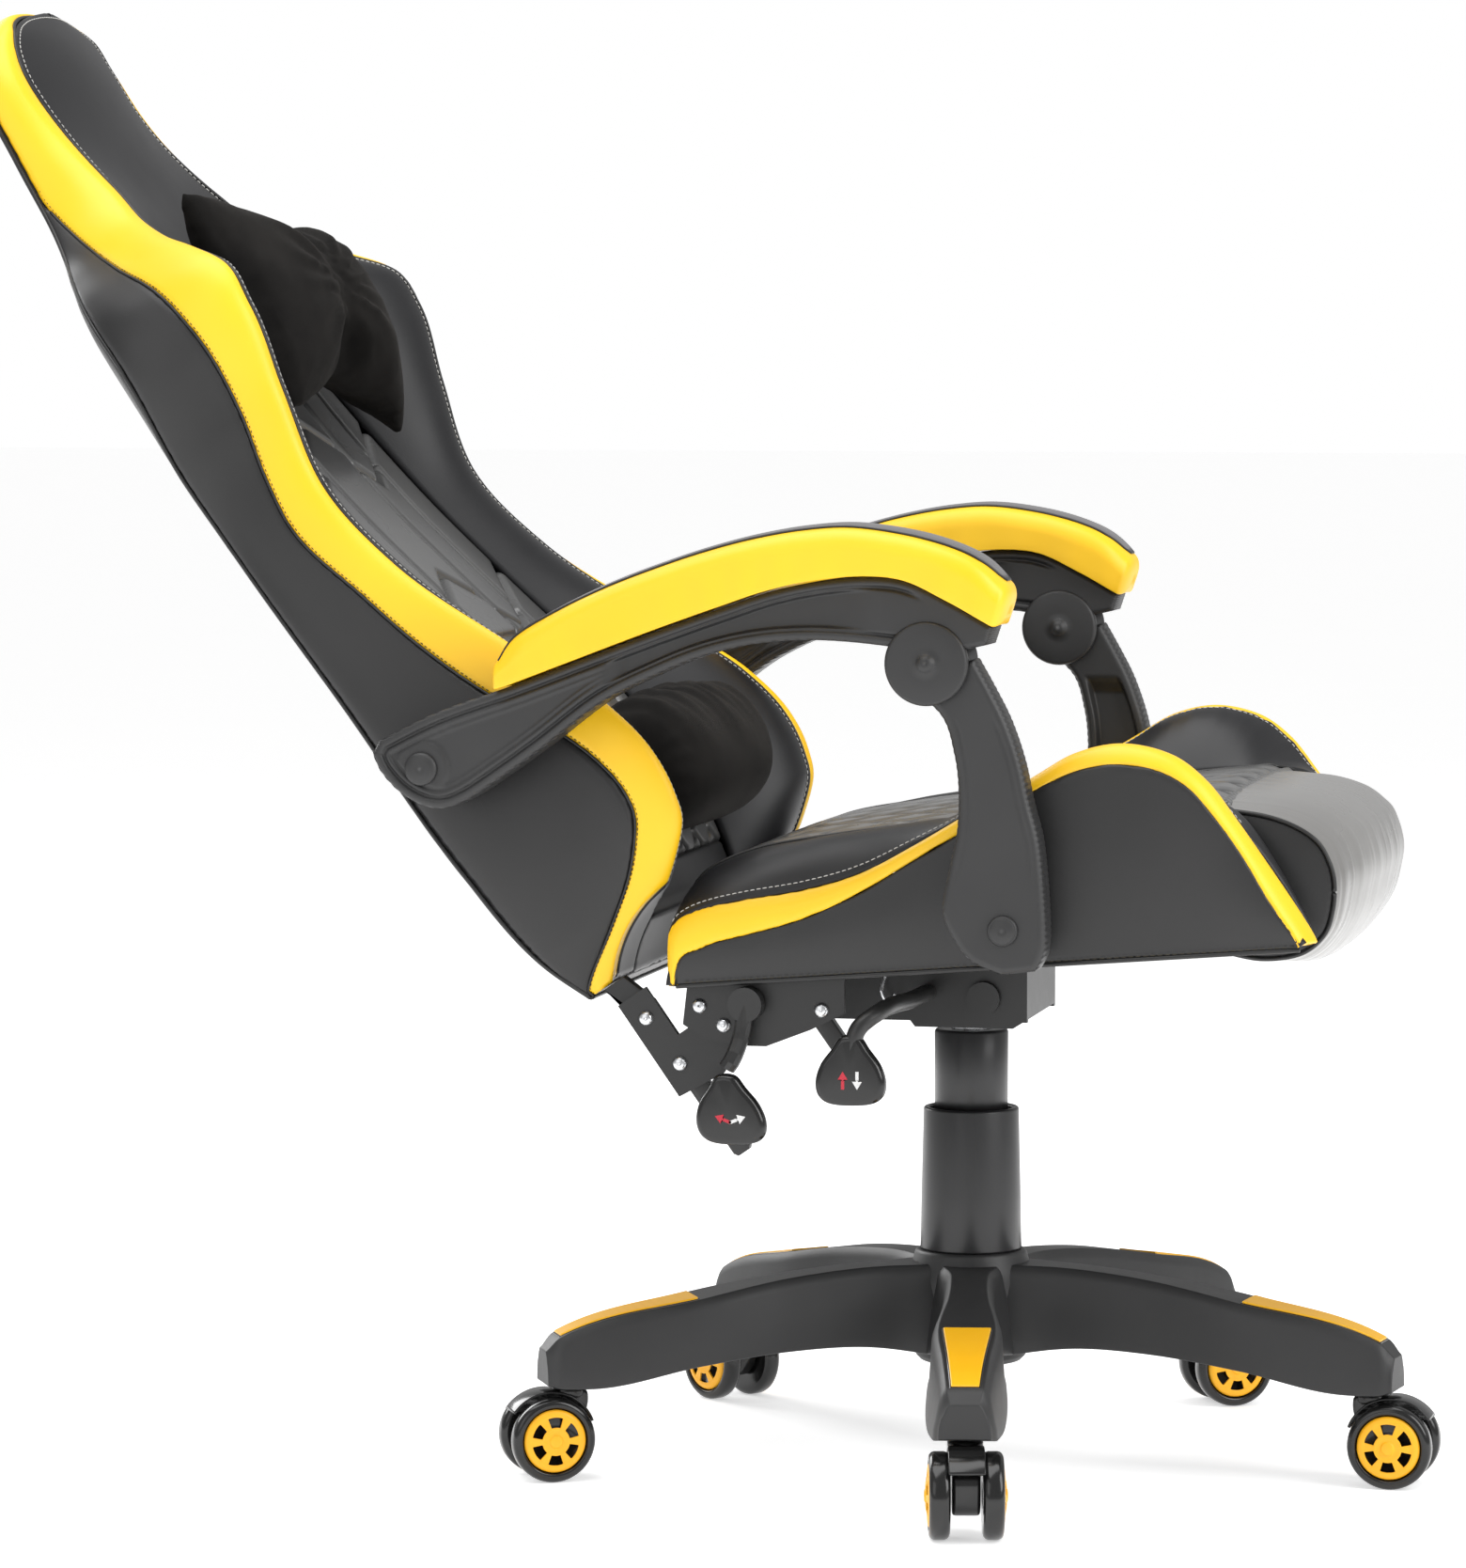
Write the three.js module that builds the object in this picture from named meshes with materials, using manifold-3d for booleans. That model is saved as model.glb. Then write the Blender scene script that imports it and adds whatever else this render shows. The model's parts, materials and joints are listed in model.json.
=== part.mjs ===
// Racing-style desk chair with a reclining bucket back, linked armrests, a gas lift and a five-star caster base.
// Millimetres, +Z up. The chair faces +X and the sitter's left is +Y. The model is laid out from the column's axis
// on the floor, and the whole group is moved at the end so that its origin is the middle of its footprint.
import * as THREE from "three";
import { mergeVertices } from "three/addons/utils/BufferGeometryUtils.js";
import Module from "manifold-3d";

const wasm = await Module();
wasm.setup();

// ---- driving dimensions ----
const GAP = 0.4; // between pieces that rest on each other
const SIDES = [
  ["right", -1],
  ["left", 1],
];

// five-star base and casters
const WHEEL_RADIUS = 30;
const ARM_FOOT = 2 * WHEEL_RADIUS + 6; // underside of an arm's end
const STEM_CIRCLE = 300;
const BASE_TURN = THREE.MathUtils.degToRad(-80.5); // the first arm's direction, from +X
const ARM_COUNT = 5;
const ARM_TIP = STEM_CIRCLE + 19;
const HUB_TOP = ARM_FOOT + 87;
const HUB_FOOT = ARM_FOOT + 6;
const COLUMN_RADIUS = 24.7;
const HUB_RADIUS = COLUMN_RADIUS + 12.3; // at its foot
const INSERT = { inner: STEM_CIRCLE - 91, outer: STEM_CIRCLE + 8, wide: 33, narrow: 19, depth: 2.2 };
const WHEEL_WIDTH = 14.5;
const WHEEL_SPREAD = 11; // from the caster's middle to a wheel's inner face
const RIM_BULGE = 3;
const AXLE_RADIUS = 4;
const STEM_RADIUS = 5.3;
const CASTER_TRAIL = 16;
const CASTER_TURNS = [-77.6, -3.6, 28.4, 139.2, 208.4].map(THREE.MathUtils.degToRad);

// gas lift and its two covers
const LIFT_DOWN = 50;
const UPPER_COVER = { radius: COLUMN_RADIUS + 1.8, wall: 1.2, height: 96 };
const LOWER_COVER = { foot: UPPER_COVER.radius + 10, top: UPPER_COVER.radius + 7.5, wall: 3.2, height: 103 };
const PISTON_RADIUS = 14;
const MECHANISM_FOOT = 319;

// seat
const SEAT_WIDTH = 490;
const SEAT_REAR = -170;
const SEAT_FRONT = 275;
const SEAT_FOOT = 362; // underside at the rear
const SEAT_PITCH = 0.079; // rise of the underside towards the front
const PAN_THICKNESS = 6;
const PANEL_HALF = SEAT_WIDTH / 2 - 77; // half the quilted panel's width
const FRONT_HALF = SEAT_WIDTH / 2 - 57; // half the front cushion's width
const FRONT_SEAM = 206;
const FRONT_NOSE = 302;

// reclining back; its own frame has z up the back and x out of its face, from the recliner's axis
const RECLINER = new THREE.Vector3(-115, 0, 352);
const LEAN = THREE.MathUtils.degToRad(35);
const SWEEP = 107; // nothing of the back's upholstery comes nearer the recliner's axis
const BACK_HALF = SEAT_WIDTH / 2 - 6; // half the back's width across its wings
const HEAD_HALF = 141;
const BACK_FOOT = 66;
const BACK_TOP = 905;
const NECK = 640;
const WING_TOP = 704;
const BACK_PANEL_HALF = BACK_HALF - 91;
const REAR_BOARD = 18;
const PIN_RADIUS = 8;
const PLATE = 4;
const LEG = { near: BACK_HALF - 31, thick: 11, front: -58, wide: 14, foot: -84 };

// armrests
const ARM_MIDDLE = SEAT_WIDTH / 2 + 29; // from the chair's middle plane to an armrest's
const SUPPORT_WIDTH = 30;
const BEAM_WIDTH = SUPPORT_WIDTH + 10;
const PAD_WIDTH = 65;
const PAD_REAR = -270;
const REAR_PIVOT = [-331, 515];
const DISC_PIVOT = [21, 591];
const SEAT_PIVOT = [73, 411];
const DISC_RADIUS = 28.5;
const BOLT_RADIUS = 6;
const BORE_CLEARANCE = 0.6;
const LINK_CLEARANCE = 10; // room for the support's head in the beam's fork as the linkage moves

// levers
const ROD_RADIUS = 5;
const PADDLE_THICKNESS = 12;
const PADDLE_OFFSET = SEAT_WIDTH / 2 + 5;

// ---- materials ----
const shade = (color, roughness, metalness = 0) =>
  new THREE.MeshStandardMaterial({ color, roughness, metalness });
const blackVinyl = shade(0x2b2b2c, 0.42);
const yellowVinyl = shade(0xf6cc12, 0.45);
const plush = shade(0x121110, 0.95);
const blackNylon = shade(0x242424, 0.6);
const amberNylon = shade(0xf0a314, 0.5);
const tyreBlack = shade(0x161616, 0.25);
const blackSteel = shade(0x1a1a1a, 0.45, 0.6);
const zinc = shade(0xc9ccd0, 0.3, 0.9);

// ---- geometry helpers ----

// Keeps positions only, with shared vertices merged and faces turned outwards.
function closed(geometry) {
  const bare = geometry.index ? geometry.toNonIndexed() : geometry.clone();
  bare.deleteAttribute("normal");
  bare.deleteAttribute("uv");
  const merged = mergeVertices(bare, 1e-3);
  const position = merged.attributes.position;
  const index = merged.index.array;
  const corner = [new THREE.Vector3(), new THREE.Vector3(), new THREE.Vector3()];
  const kept = [];
  let volume = 0;
  for (let i = 0; i < index.length; i += 3) {
    const face = [index[i], index[i + 1], index[i + 2]];
    if (new Set(face).size < 3) continue;
    face.forEach((vertex, n) => corner[n].fromBufferAttribute(position, vertex));
    volume += corner[0].dot(corner[1].clone().cross(corner[2]));
    kept.push(face);
  }
  const faces = volume < 0 ? kept.map((face) => face.toReversed()) : kept;
  return new THREE.BufferGeometry()
    .setAttribute("position", position)
    .setIndex(faces.flat());
}

function toSolid(geometry) {
  const clean = closed(geometry);
  return new wasm.Manifold(
    new wasm.Mesh({
      numProp: 3,
      vertProperties: new Float32Array(clean.attributes.position.array),
      triVerts: new Uint32Array(clean.index.array),
    }),
  );
}

function fromSolid(solid) {
  const mesh = solid.getMesh();
  const position = new Float32Array(mesh.numVert * 3);
  for (let i = 0; i < mesh.numVert; i++)
    position.set(mesh.vertProperties.subarray(i * mesh.numProp, i * mesh.numProp + 3), i * 3);
  return new THREE.BufferGeometry()
    .setAttribute("position", new THREE.BufferAttribute(position, 3))
    .setIndex(new THREE.BufferAttribute(new Uint32Array(mesh.triVerts), 1));
}

const join = (first, ...others) =>
  fromSolid(others.reduce((sum, other) => sum.add(toSolid(other)), toSolid(first)));
const cut = (first, ...tools) =>
  fromSolid(tools.reduce((rest, tool) => rest.subtract(toSolid(tool)), toSolid(first)));

// A skin over closed rings of equal length, with a fan on each end.
function loft(rings) {
  const count = rings[0].length;
  const position = rings.flat().flatMap((point) => point.toArray());
  const index = [];
  for (let r = 0; r + 1 < rings.length; r++)
    for (let i = 0; i < count; i++) {
      const a = r * count + i;
      const b = r * count + ((i + 1) % count);
      index.push(a, b, b + count, a, b + count, a + count);
    }
  [0, rings.length - 1].forEach((r, end) => {
    const middle = new THREE.Vector3();
    rings[r].forEach((point) => middle.addScaledVector(point, 1 / count));
    const hub = position.length / 3;
    position.push(...middle.toArray());
    for (let i = 0; i < count; i++) {
      const a = r * count + i;
      const b = r * count + ((i + 1) % count);
      index.push(...(end ? [a, b, hub] : [b, a, hub]));
    }
  });
  const skin = new THREE.BufferGeometry();
  skin.setAttribute("position", new THREE.Float32BufferAttribute(position, 3));
  skin.setIndex(index);
  return closed(skin);
}

// A smooth function through [x, value] pairs.
function through(pairs) {
  return (x) => {
    const last = pairs.length - 1;
    let i = 0;
    while (i < last - 1 && x > pairs[i + 1][0]) i++;
    const [x0, y0] = pairs[i];
    const [x1, y1] = pairs[i + 1];
    const slopeAt = (n) => {
      const [xa, ya] = pairs[Math.max(0, n - 1)];
      const [xb, yb] = pairs[Math.min(last, n + 1)];
      return (yb - ya) / (xb - xa);
    };
    const t = THREE.MathUtils.clamp((x - x0) / (x1 - x0), 0, 1);
    const span = x1 - x0;
    const h = t * t * (3 - 2 * t);
    const bend = t * (1 - t) * span;
    return y0 + (y1 - y0) * h + bend * ((1 - t) * slopeAt(i) - t * slopeAt(i + 1));
  };
}

const smooth = (points, pieces) =>
  new THREE.SplineCurve(points.map(([x, y]) => new THREE.Vector2(x, y)))
    .getPoints(pieces)
    .map((point) => point.toArray());

// An outline in x and z, as thick as the stretch from one y to the other.
function slab(outline, yA, yB) {
  const shape = new THREE.Shape(outline.map(([x, z]) => new THREE.Vector2(x, z)));
  const depth = Math.abs(yB - yA);
  return new THREE.ExtrudeGeometry(shape, { depth, bevelEnabled: false })
    .rotateX(Math.PI / 2)
    .translate(0, Math.max(yA, yB), 0);
}

const circle = ([x, z], radius, pieces = 24) =>
  Array.from({ length: pieces }, (_, i) => {
    const angle = (i / pieces) * 2 * Math.PI;
    return [x + radius * Math.cos(angle), z + radius * Math.sin(angle)];
  });

const disc = (centre, radius, yA, yB, pieces) => slab(circle(centre, radius, pieces), yA, yB);

// A solid of revolution about the vertical axis from [radius, height] pairs.
const turned = (profile, pieces = 32) =>
  closed(
    new THREE.LatheGeometry(
      profile.map(([r, h]) => new THREE.Vector2(r, h)),
      pieces,
    ).rotateX(Math.PI / 2),
  );

const ring = (inner, outer, low, high, pieces) =>
  turned([[inner, low], [outer, low], [outer, high], [inner, high], [inner, low]], pieces);

// A round rod along a smooth path.
function rod(points, radius, steps, sides = 10) {
  const section = new THREE.Shape(circle([0, 0], radius, sides).map(([x, y]) => new THREE.Vector2(x, y)));
  const path = new THREE.CatmullRomCurve3(points.map((point) => new THREE.Vector3(...point)), false, "centripetal");
  return new THREE.ExtrudeGeometry(section, { steps, extrudePath: path, bevelEnabled: false });
}

const chair = new THREE.Group();

function piece(parent, name, geometry, material) {
  const mesh = new THREE.Mesh(geometry, material);
  mesh.name = name;
  parent.add(mesh);
  return mesh;
}

// ---- base ----

// Half width at the ridge, half width at the skirt, top and underside of a base arm at a radius.
const armTop = through([
  [30, ARM_FOOT + 79],
  [90, ARM_FOOT + 77],
  [140, ARM_FOOT + 72],
  [INSERT.inner, ARM_FOOT + 60],
  [INSERT.outer, ARM_FOOT + 36.5],
  [ARM_TIP, ARM_FOOT + 31],
]);
const armFoot = through([
  [30, ARM_FOOT + 14],
  [90, ARM_FOOT + 21],
  [140, ARM_FOOT + 20],
  [INSERT.inner, ARM_FOOT + 13],
  [STEM_CIRCLE - 17, ARM_FOOT],
  [ARM_TIP, ARM_FOOT],
]);
const armSkirt = through([[30, 21], [140, 22], [INSERT.inner, 28], [STEM_CIRCLE - 30, 27], [ARM_TIP, 21]]);
const armRidge = through([[30, 13], [140, 14], [INSERT.inner, 20], [STEM_CIRCLE - 30, 16], [ARM_TIP, 12]]);

function baseArm() {
  const stations = [
    30, 90, 140, 175, INSERT.inner - 4, INSERT.inner + 36, STEM_CIRCLE - 17, INSERT.outer + 2, ARM_TIP,
  ];
  return loft(
    stations.map((r) => {
      const top = armTop(r);
      const shoulder = armRidge(r) + 3;
      return [
        [-armSkirt(r), armFoot(r)],
        [armSkirt(r), armFoot(r)],
        [armSkirt(r) - 1, armFoot(r) + 14],
        [shoulder, top - 5],
        [armRidge(r), top],
        [-armRidge(r), top],
        [-shoulder, top - 5],
        [1 - armSkirt(r), armFoot(r) + 14],
      ].map(([y, z]) => new THREE.Vector3(r, y, z));
    }),
  );
}

// The coloured inlay on an arm, or with a clearance the pocket it lies in.
function inlay(clearance, floor, proud) {
  const corner = (r, half, lift) => [
    new THREE.Vector3(r, -half - clearance, armTop(r) + lift),
    new THREE.Vector3(r, half + clearance, armTop(r) + lift),
  ];
  const section = (r, half) => {
    const low = corner(r, half, -floor);
    const high = corner(r, half, proud);
    return [low[0], low[1], high[1], high[0]];
  };
  const middle = (INSERT.inner + INSERT.outer) / 2;
  return loft([
    section(INSERT.inner - clearance, INSERT.wide / 2),
    section(middle, (INSERT.wide + INSERT.narrow) / 4),
    section(INSERT.outer + clearance, INSERT.narrow / 2),
  ]);
}

function buildBase() {
  const directions = Array.from({ length: ARM_COUNT }, (_, k) => BASE_TURN + (k * 2 * Math.PI) / ARM_COUNT);
  const around = (geometry, angle) => geometry.clone().rotateZ(angle);
  const hub = turned(
    [
      [0, HUB_FOOT],
      [HUB_RADIUS, HUB_FOOT],
      [HUB_RADIUS + 5, HUB_FOOT + 18],
      [HUB_RADIUS + 8, HUB_TOP - 17],
      [HUB_RADIUS + 3, HUB_TOP],
      [0, HUB_TOP],
    ],
    40,
  );
  const arm = baseArm();
  const pocket = inlay(GAP, INSERT.depth + GAP, 4);
  const socket = ring(0, STEM_RADIUS + 0.7, ARM_FOOT - 6, ARM_FOOT + 28, 16).translate(STEM_CIRCLE, 0, 0);
  const star = cut(
    join(hub, ...directions.map((angle) => around(arm, angle))),
    turned([[0, HUB_FOOT - 2], [COLUMN_RADIUS + GAP, HUB_FOOT - 2], [COLUMN_RADIUS + GAP, HUB_TOP + 2], [0, HUB_TOP + 2]]),
    ...directions.map((angle) => around(pocket, angle)),
    ...directions.map((angle) => around(socket, angle)),
  );
  piece(chair, "star_base", star, blackNylon);
  directions.forEach((angle, k) => {
    piece(chair, `base_insert_${k + 1}`, inlay(0, INSERT.depth, 0.5), amberNylon).rotation.z = angle;
    buildCaster(k, angle);
  });
  const columnTop = HUB_TOP + LOWER_COVER.height - 8;
  piece(chair, "gas_column", ring(PISTON_RADIUS + 0.6, COLUMN_RADIUS, HUB_FOOT, columnTop, 32), blackSteel);
  const foot = HUB_TOP + GAP;
  const top = HUB_TOP + LOWER_COVER.height;
  const lower = turned(
    [
      [LOWER_COVER.foot - LOWER_COVER.wall, foot],
      [LOWER_COVER.foot, foot],
      [LOWER_COVER.top, top],
      [LOWER_COVER.top - LOWER_COVER.wall, top],
      [LOWER_COVER.foot - LOWER_COVER.wall, foot],
    ],
    40,
  );
  piece(chair, "cover_lower", lower, blackNylon);
}

// One caster: a housing with its stem and axle, and two wheels with blind bores.
function buildCaster(k, angle) {
  const caster = new THREE.Group();
  caster.position.set(STEM_CIRCLE * Math.cos(angle), STEM_CIRCLE * Math.sin(angle), 0);
  caster.rotation.z = CASTER_TURNS[k];
  chair.add(caster);
  const half = WHEEL_SPREAD - GAP;
  const crown = ARM_FOOT - 2;
  const cheek = [
    [-9, crown],
    [11, crown],
    [25, WHEEL_RADIUS + 22],
    [30, WHEEL_RADIUS + 10],
    [28, WHEEL_RADIUS - 8],
    [18, WHEEL_RADIUS - 14],
    [6, WHEEL_RADIUS - 12],
    [-4, WHEEL_RADIUS],
    [-12, WHEEL_RADIUS + 16],
    [-13, WHEEL_RADIUS + 28],
  ];
  const housing = join(
    slab(cheek, -half, half),
    ring(0, 11.5, crown - 10, ARM_FOOT - GAP, 20),
    ring(0, STEM_RADIUS, crown - 8, ARM_FOOT + 26, 16),
    disc([CASTER_TRAIL, WHEEL_RADIUS], AXLE_RADIUS, -20, 20, 12),
  );
  piece(caster, `caster_housing_${k + 1}`, housing, blackNylon);
  const bore = AXLE_RADIUS + BORE_CLEARANCE;
  const wheel = [
    [0, 11],
    [bore, 11],
    [bore, 0],
    [WHEEL_RADIUS - 4, 0],
    [WHEEL_RADIUS, 2.5],
    [WHEEL_RADIUS, WHEEL_WIDTH - 2.5],
    [WHEEL_RADIUS - 4, WHEEL_WIDTH],
    [WHEEL_RADIUS - 8, WHEEL_WIDTH],
    [WHEEL_RADIUS - 16, WHEEL_WIDTH + RIM_BULGE],
    [0, WHEEL_WIDTH + RIM_BULGE],
  ].map(([r, h]) => new THREE.Vector2(r, h));
  [
    ["a", 1],
    ["b", -1],
  ].forEach(([letter, side]) => {
    const turnedWheel = closed(new THREE.LatheGeometry(wheel, 22));
    const mesh = piece(caster, `wheel_${k + 1}${letter}`, turnedWheel, tyreBlack);
    mesh.position.set(CASTER_TRAIL, side * WHEEL_SPREAD, WHEEL_RADIUS);
    mesh.rotation.x = side > 0 ? 0 : Math.PI;
  });
}

// ---- lift ----

function buildLift() {
  const top = MECHANISM_FOOT - GAP;
  const capTop = top - 6;
  const columnFoot = HUB_FOOT + LIFT_DOWN + 50;
  const { radius, wall, height } = UPPER_COVER;
  piece(chair, "gas_piston", ring(0, PISTON_RADIUS, columnFoot, top, 24), zinc);
  const cover = turned(
    [
      [radius - wall, capTop - height],
      [radius, capTop - height],
      [radius, capTop],
      [PISTON_RADIUS + GAP, capTop],
      [PISTON_RADIUS + GAP, capTop - 3],
      [radius - wall, capTop - 3],
      [radius - wall, capTop - height],
    ],
    40,
  );
  piece(chair, "cover_upper", cover, blackNylon);
}

// ---- seat ----

const seatFoot = (x) => SEAT_FOOT + SEAT_PITCH * (x - SEAT_REAR);
const cushionFoot = (x) => seatFoot(x) + PAN_THICKNESS + GAP;
const panelTop = through([
  [SEAT_REAR, 430],
  [-150, 445],
  [-121, 454],
  [-60, 465],
  [60, 478],
  [FRONT_SEAM, 495],
]);
const bolsterTop = through([
  [SEAT_REAR, 424],
  [-160, 436],
  [-140, 448],
  [-121, 454],
  [-60, 470],
  [0, 481],
  [40, 490],
  [81, 507],
  [112, 527],
  [146, 534],
  [180, 527],
  [210, 501],
  [243, 457],
  [262, 430],
  [SEAT_FRONT, 412],
]);

// A side bolster's rings run along x between its inner face and the seat's side.
function bolsterStretch(stations, inner, side) {
  const outer = SEAT_WIDTH / 2;
  const width = outer - inner;
  return loft(
    stations.map((x) => {
      const foot = cushionFoot(x);
      const top = bolsterTop(x);
      const meets = Math.min(top - 3, Math.max(foot + 12, panelTop(Math.min(x, FRONT_SEAM)) + 2));
      const crown = top - foot;
      return [
        [inner, foot],
        [inner, meets],
        [inner + width * 0.28, (meets + top) / 2 + crown * 0.02],
        [inner + width * 0.55, top - 1],
        [inner + width * 0.8, top],
        [outer - 4, top - Math.min(12, crown * 0.3)],
        [outer, foot + crown * 0.6],
        [outer - 2, foot],
      ].map(([y, z]) => new THREE.Vector3(x, side * y, z));
    }),
  );
}

function seatBolster(side) {
  const rear = [SEAT_REAR, -160, -145, -121, -60, 0, 45, 81, 112, 146, 175, FRONT_SEAM - GAP];
  const front = [195, 212, 228, 243, 262, SEAT_FRONT];
  return join(
    bolsterStretch(rear, PANEL_HALF + GAP, side),
    bolsterStretch(front, FRONT_HALF + GAP, side),
  );
}

function frontCushion() {
  const outline = [
    [FRONT_SEAM, 0],
    [FRONT_SEAM + 20, 0],
    [FRONT_SEAM + 55, -4],
    [FRONT_SEAM + 75, 6],
    [FRONT_SEAM + 88, 28],
    [FRONT_NOSE - 1, 48],
    [FRONT_NOSE, 66],
    [FRONT_NOSE - 8, 90],
    [FRONT_NOSE - 28, 108],
    [FRONT_NOSE - 60, 114],
    [FRONT_SEAM, 115],
  ];
  const foot = seatFoot(FRONT_SEAM) - 11;
  const stations = [-1, -0.85, -0.5, 0, 0.5, 0.85, 1];
  return loft(
    stations.map((t) => {
      const fall = Math.abs(t) ** 3;
      return outline.map(([x, rise]) => {
        const forward = x - FRONT_SEAM;
        return new THREE.Vector3(
          FRONT_SEAM + GAP + forward * (1 - 0.17 * fall),
          t * (FRONT_HALF - GAP),
          foot + rise - (rise > 60 ? 9 * fall : 0),
        );
      });
    }),
  );
}

function buildMechanism() {
  const roof = (x) => seatFoot(x) - GAP;
  const housing = slab(
    [[-31, MECHANISM_FOOT], [40, MECHANISM_FOOT], [51, 326], [51, roof(51)], [-46, roof(-46)], [-46, 338]],
    -56,
    56,
  );
  const bars = SIDES.map(([, side]) =>
    slab([[-104, 324], [51, 324], [51, roof(51)], [-104, roof(-104)]], side * 55, side * 61),
  );
  const bosses = SIDES.map(([, side]) => disc([20, 341], 12, side * 60, side * 66, 20));
  piece(chair, "mechanism", join(housing, ...bars, ...bosses), blackSteel);
  const hook = rod(
    [
      [-50, -70, seatFoot(-50) - 1],
      [-50, -70, 358],
      [-52, -72, 346],
      [-47, -74, 338],
      [-42, -74, 344],
    ],
    1.5,
    12,
    6,
  );
  piece(chair, "spring_hook", hook, zinc);
}

function buildSeat() {
  const pan = slab(
    [
      [SEAT_REAR + 10, seatFoot(SEAT_REAR + 10)],
      [FRONT_SEAM - GAP, seatFoot(FRONT_SEAM - GAP)],
      [FRONT_SEAM - GAP, seatFoot(FRONT_SEAM - GAP) + PAN_THICKNESS],
      [SEAT_REAR + 10, seatFoot(SEAT_REAR + 10) + PAN_THICKNESS],
    ],
    -(SEAT_WIDTH / 2 - 9),
    SEAT_WIDTH / 2 - 9,
  );
  piece(chair, "seat_pan", pan, blackSteel);
  const topLine = [SEAT_REAR, -160, -150, -135, -121, -90, -60, 0, 60, 120, FRONT_SEAM - GAP];
  const outline = [
    [SEAT_REAR, cushionFoot(SEAT_REAR)],
    [FRONT_SEAM - GAP, cushionFoot(FRONT_SEAM)],
    ...topLine.toReversed().map((x) => [x, panelTop(x)]),
  ];
  piece(chair, "seat_cushion", slab(outline, -(PANEL_HALF - GAP), PANEL_HALF - GAP), blackVinyl);
  piece(chair, "front_cushion", frontCushion(), blackVinyl);
  SIDES.forEach(([word, side]) => {
    piece(chair, `seat_bolster_${word}`, seatBolster(side), blackVinyl);
    piece(chair, `seat_plate_${word}`, seatPlate(side), blackSteel);
  });
  const inboard = LEG.near - 8;
  piece(chair, "sync_rod", disc([RECLINER.x, RECLINER.z], 6, -inboard + GAP, inboard - GAP, 14), blackSteel);
}

// The seat's half of a recliner: a plate under the pan and the pin that the back turns on.
function seatPlate(side) {
  const roof = (x) => seatFoot(x) - GAP;
  const outline = [
    [-162, 336],
    [-146, 326],
    [RECLINER.x - 8, 322],
    [RECLINER.x + 12, 322],
    [-72, 334],
    [-48, 346],
    [-48, roof(-48)],
    [-159, roof(-159)],
  ];
  const plate = LEG.near + LEG.thick + PLATE + 3 * GAP;
  return join(
    slab(outline, side * plate, side * (plate + PLATE)),
    disc([RECLINER.x, RECLINER.z], PIN_RADIUS, side * (LEG.near - 8), side * (plate + PLATE + 4), 20),
  );
}

// ---- levers ----

// A paddle's outline below the end of its stalk, in x and z.
const paddle = ([x, z], lean) =>
  smooth(
    [[-5, 4], [5, 4], [15, -10], [24, -26], [23, -36], [12, -41], [-10, -42], [-22, -40], [-25, -30], [-17, -12], [-5, 4]]
      .map(([dx, dz]) => [x + dx - lean * dz, z + dz]),
    20,
  ).slice(0, -1);

function buildLevers() {
  const paddleY = [-PADDLE_OFFSET - PADDLE_THICKNESS / 2, -PADDLE_OFFSET + PADDLE_THICKNESS / 2];
  const liftNeck = [-39, 328];
  const stalkEnd = 10;
  const liftRod = rod(
    [
      [-22, -67, 344],
      [-22, -150, 345],
      [-23, -215, 347],
      [-30, -242, 343],
      [liftNeck[0], -PADDLE_OFFSET, liftNeck[1] + stalkEnd],
    ],
    ROD_RADIUS,
    15,
  );
  piece(chair, "lift_lever", liftRod, blackSteel);
  piece(chair, "lift_paddle", slab(paddle(liftNeck, 0), ...paddleY), blackNylon);
  const reclineNeck = [-126, 299];
  const boss = LEG.near + LEG.thick + 2 * PLATE + 3 * GAP + 4;
  const lever = join(
    disc([RECLINER.x, RECLINER.z], 12, -(boss + GAP), -(boss + 12), 24),
    rod(
      [
        [RECLINER.x, -(boss + 6), RECLINER.z],
        [-118, -(boss + 9), 330],
        [-122, -PADDLE_OFFSET, 315],
        [reclineNeck[0], -PADDLE_OFFSET, reclineNeck[1] + stalkEnd],
      ],
      ROD_RADIUS + 1,
      9,
    ),
  );
  piece(chair, "recline_lever", lever, blackSteel);
  piece(chair, "recline_paddle", slab(paddle(reclineNeck, 0.12), ...paddleY), blackNylon);
}

// ---- back ----

const wingTip = through([
  [BACK_FOOT, -84],
  [89, -30],
  [116, 14],
  [150, 37],
  [180, 41],
  [226, 32],
  [302, -2],
  [394, -38],
  [471, -50],
  [540, -36],
  [604, -24],
  [NECK, -25],
  [WING_TOP, -66],
]);
const backRear = through([
  [BACK_FOOT, -101],
  [96, -111],
  [186, -121],
  [322, -126],
  [451, -133],
  [600, -133],
  [700, -131],
  [800, -127],
  [BACK_TOP - 35, -121],
  [BACK_TOP, -112],
]);
const backPanel = through([
  [100, -42],
  [150, -32],
  [220, -32],
  [300, -44],
  [380, -62],
  [460, -78],
  [560, -90],
  [700, -96],
  [800, -92],
  [BACK_TOP - 35, -86],
  [BACK_TOP, -92],
]);
const shoulder = (share) => HEAD_HALF + (BACK_HALF - HEAD_HALF) * share;
const backHalf = through([
  [BACK_FOOT, BACK_HALF - 23],
  [110, BACK_HALF - 9],
  [170, BACK_HALF],
  [250, BACK_HALF],
  [350, BACK_HALF - 8],
  [471, BACK_HALF - 17],
  [540, BACK_HALF - 9],
  [600, BACK_HALF],
  [NECK - 5, BACK_HALF - 4],
  [665, shoulder(0.796)],
  [690, shoulder(0.541)],
  [715, shoulder(0.276)],
  [745, shoulder(0.092)],
  [790, HEAD_HALF],
  [BACK_TOP - 55, HEAD_HALF - 6],
  [BACK_TOP - 25, HEAD_HALF - 23],
  [BACK_TOP - 8, HEAD_HALF - 49],
  [BACK_TOP, HEAD_HALF - 79],
]);

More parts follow.
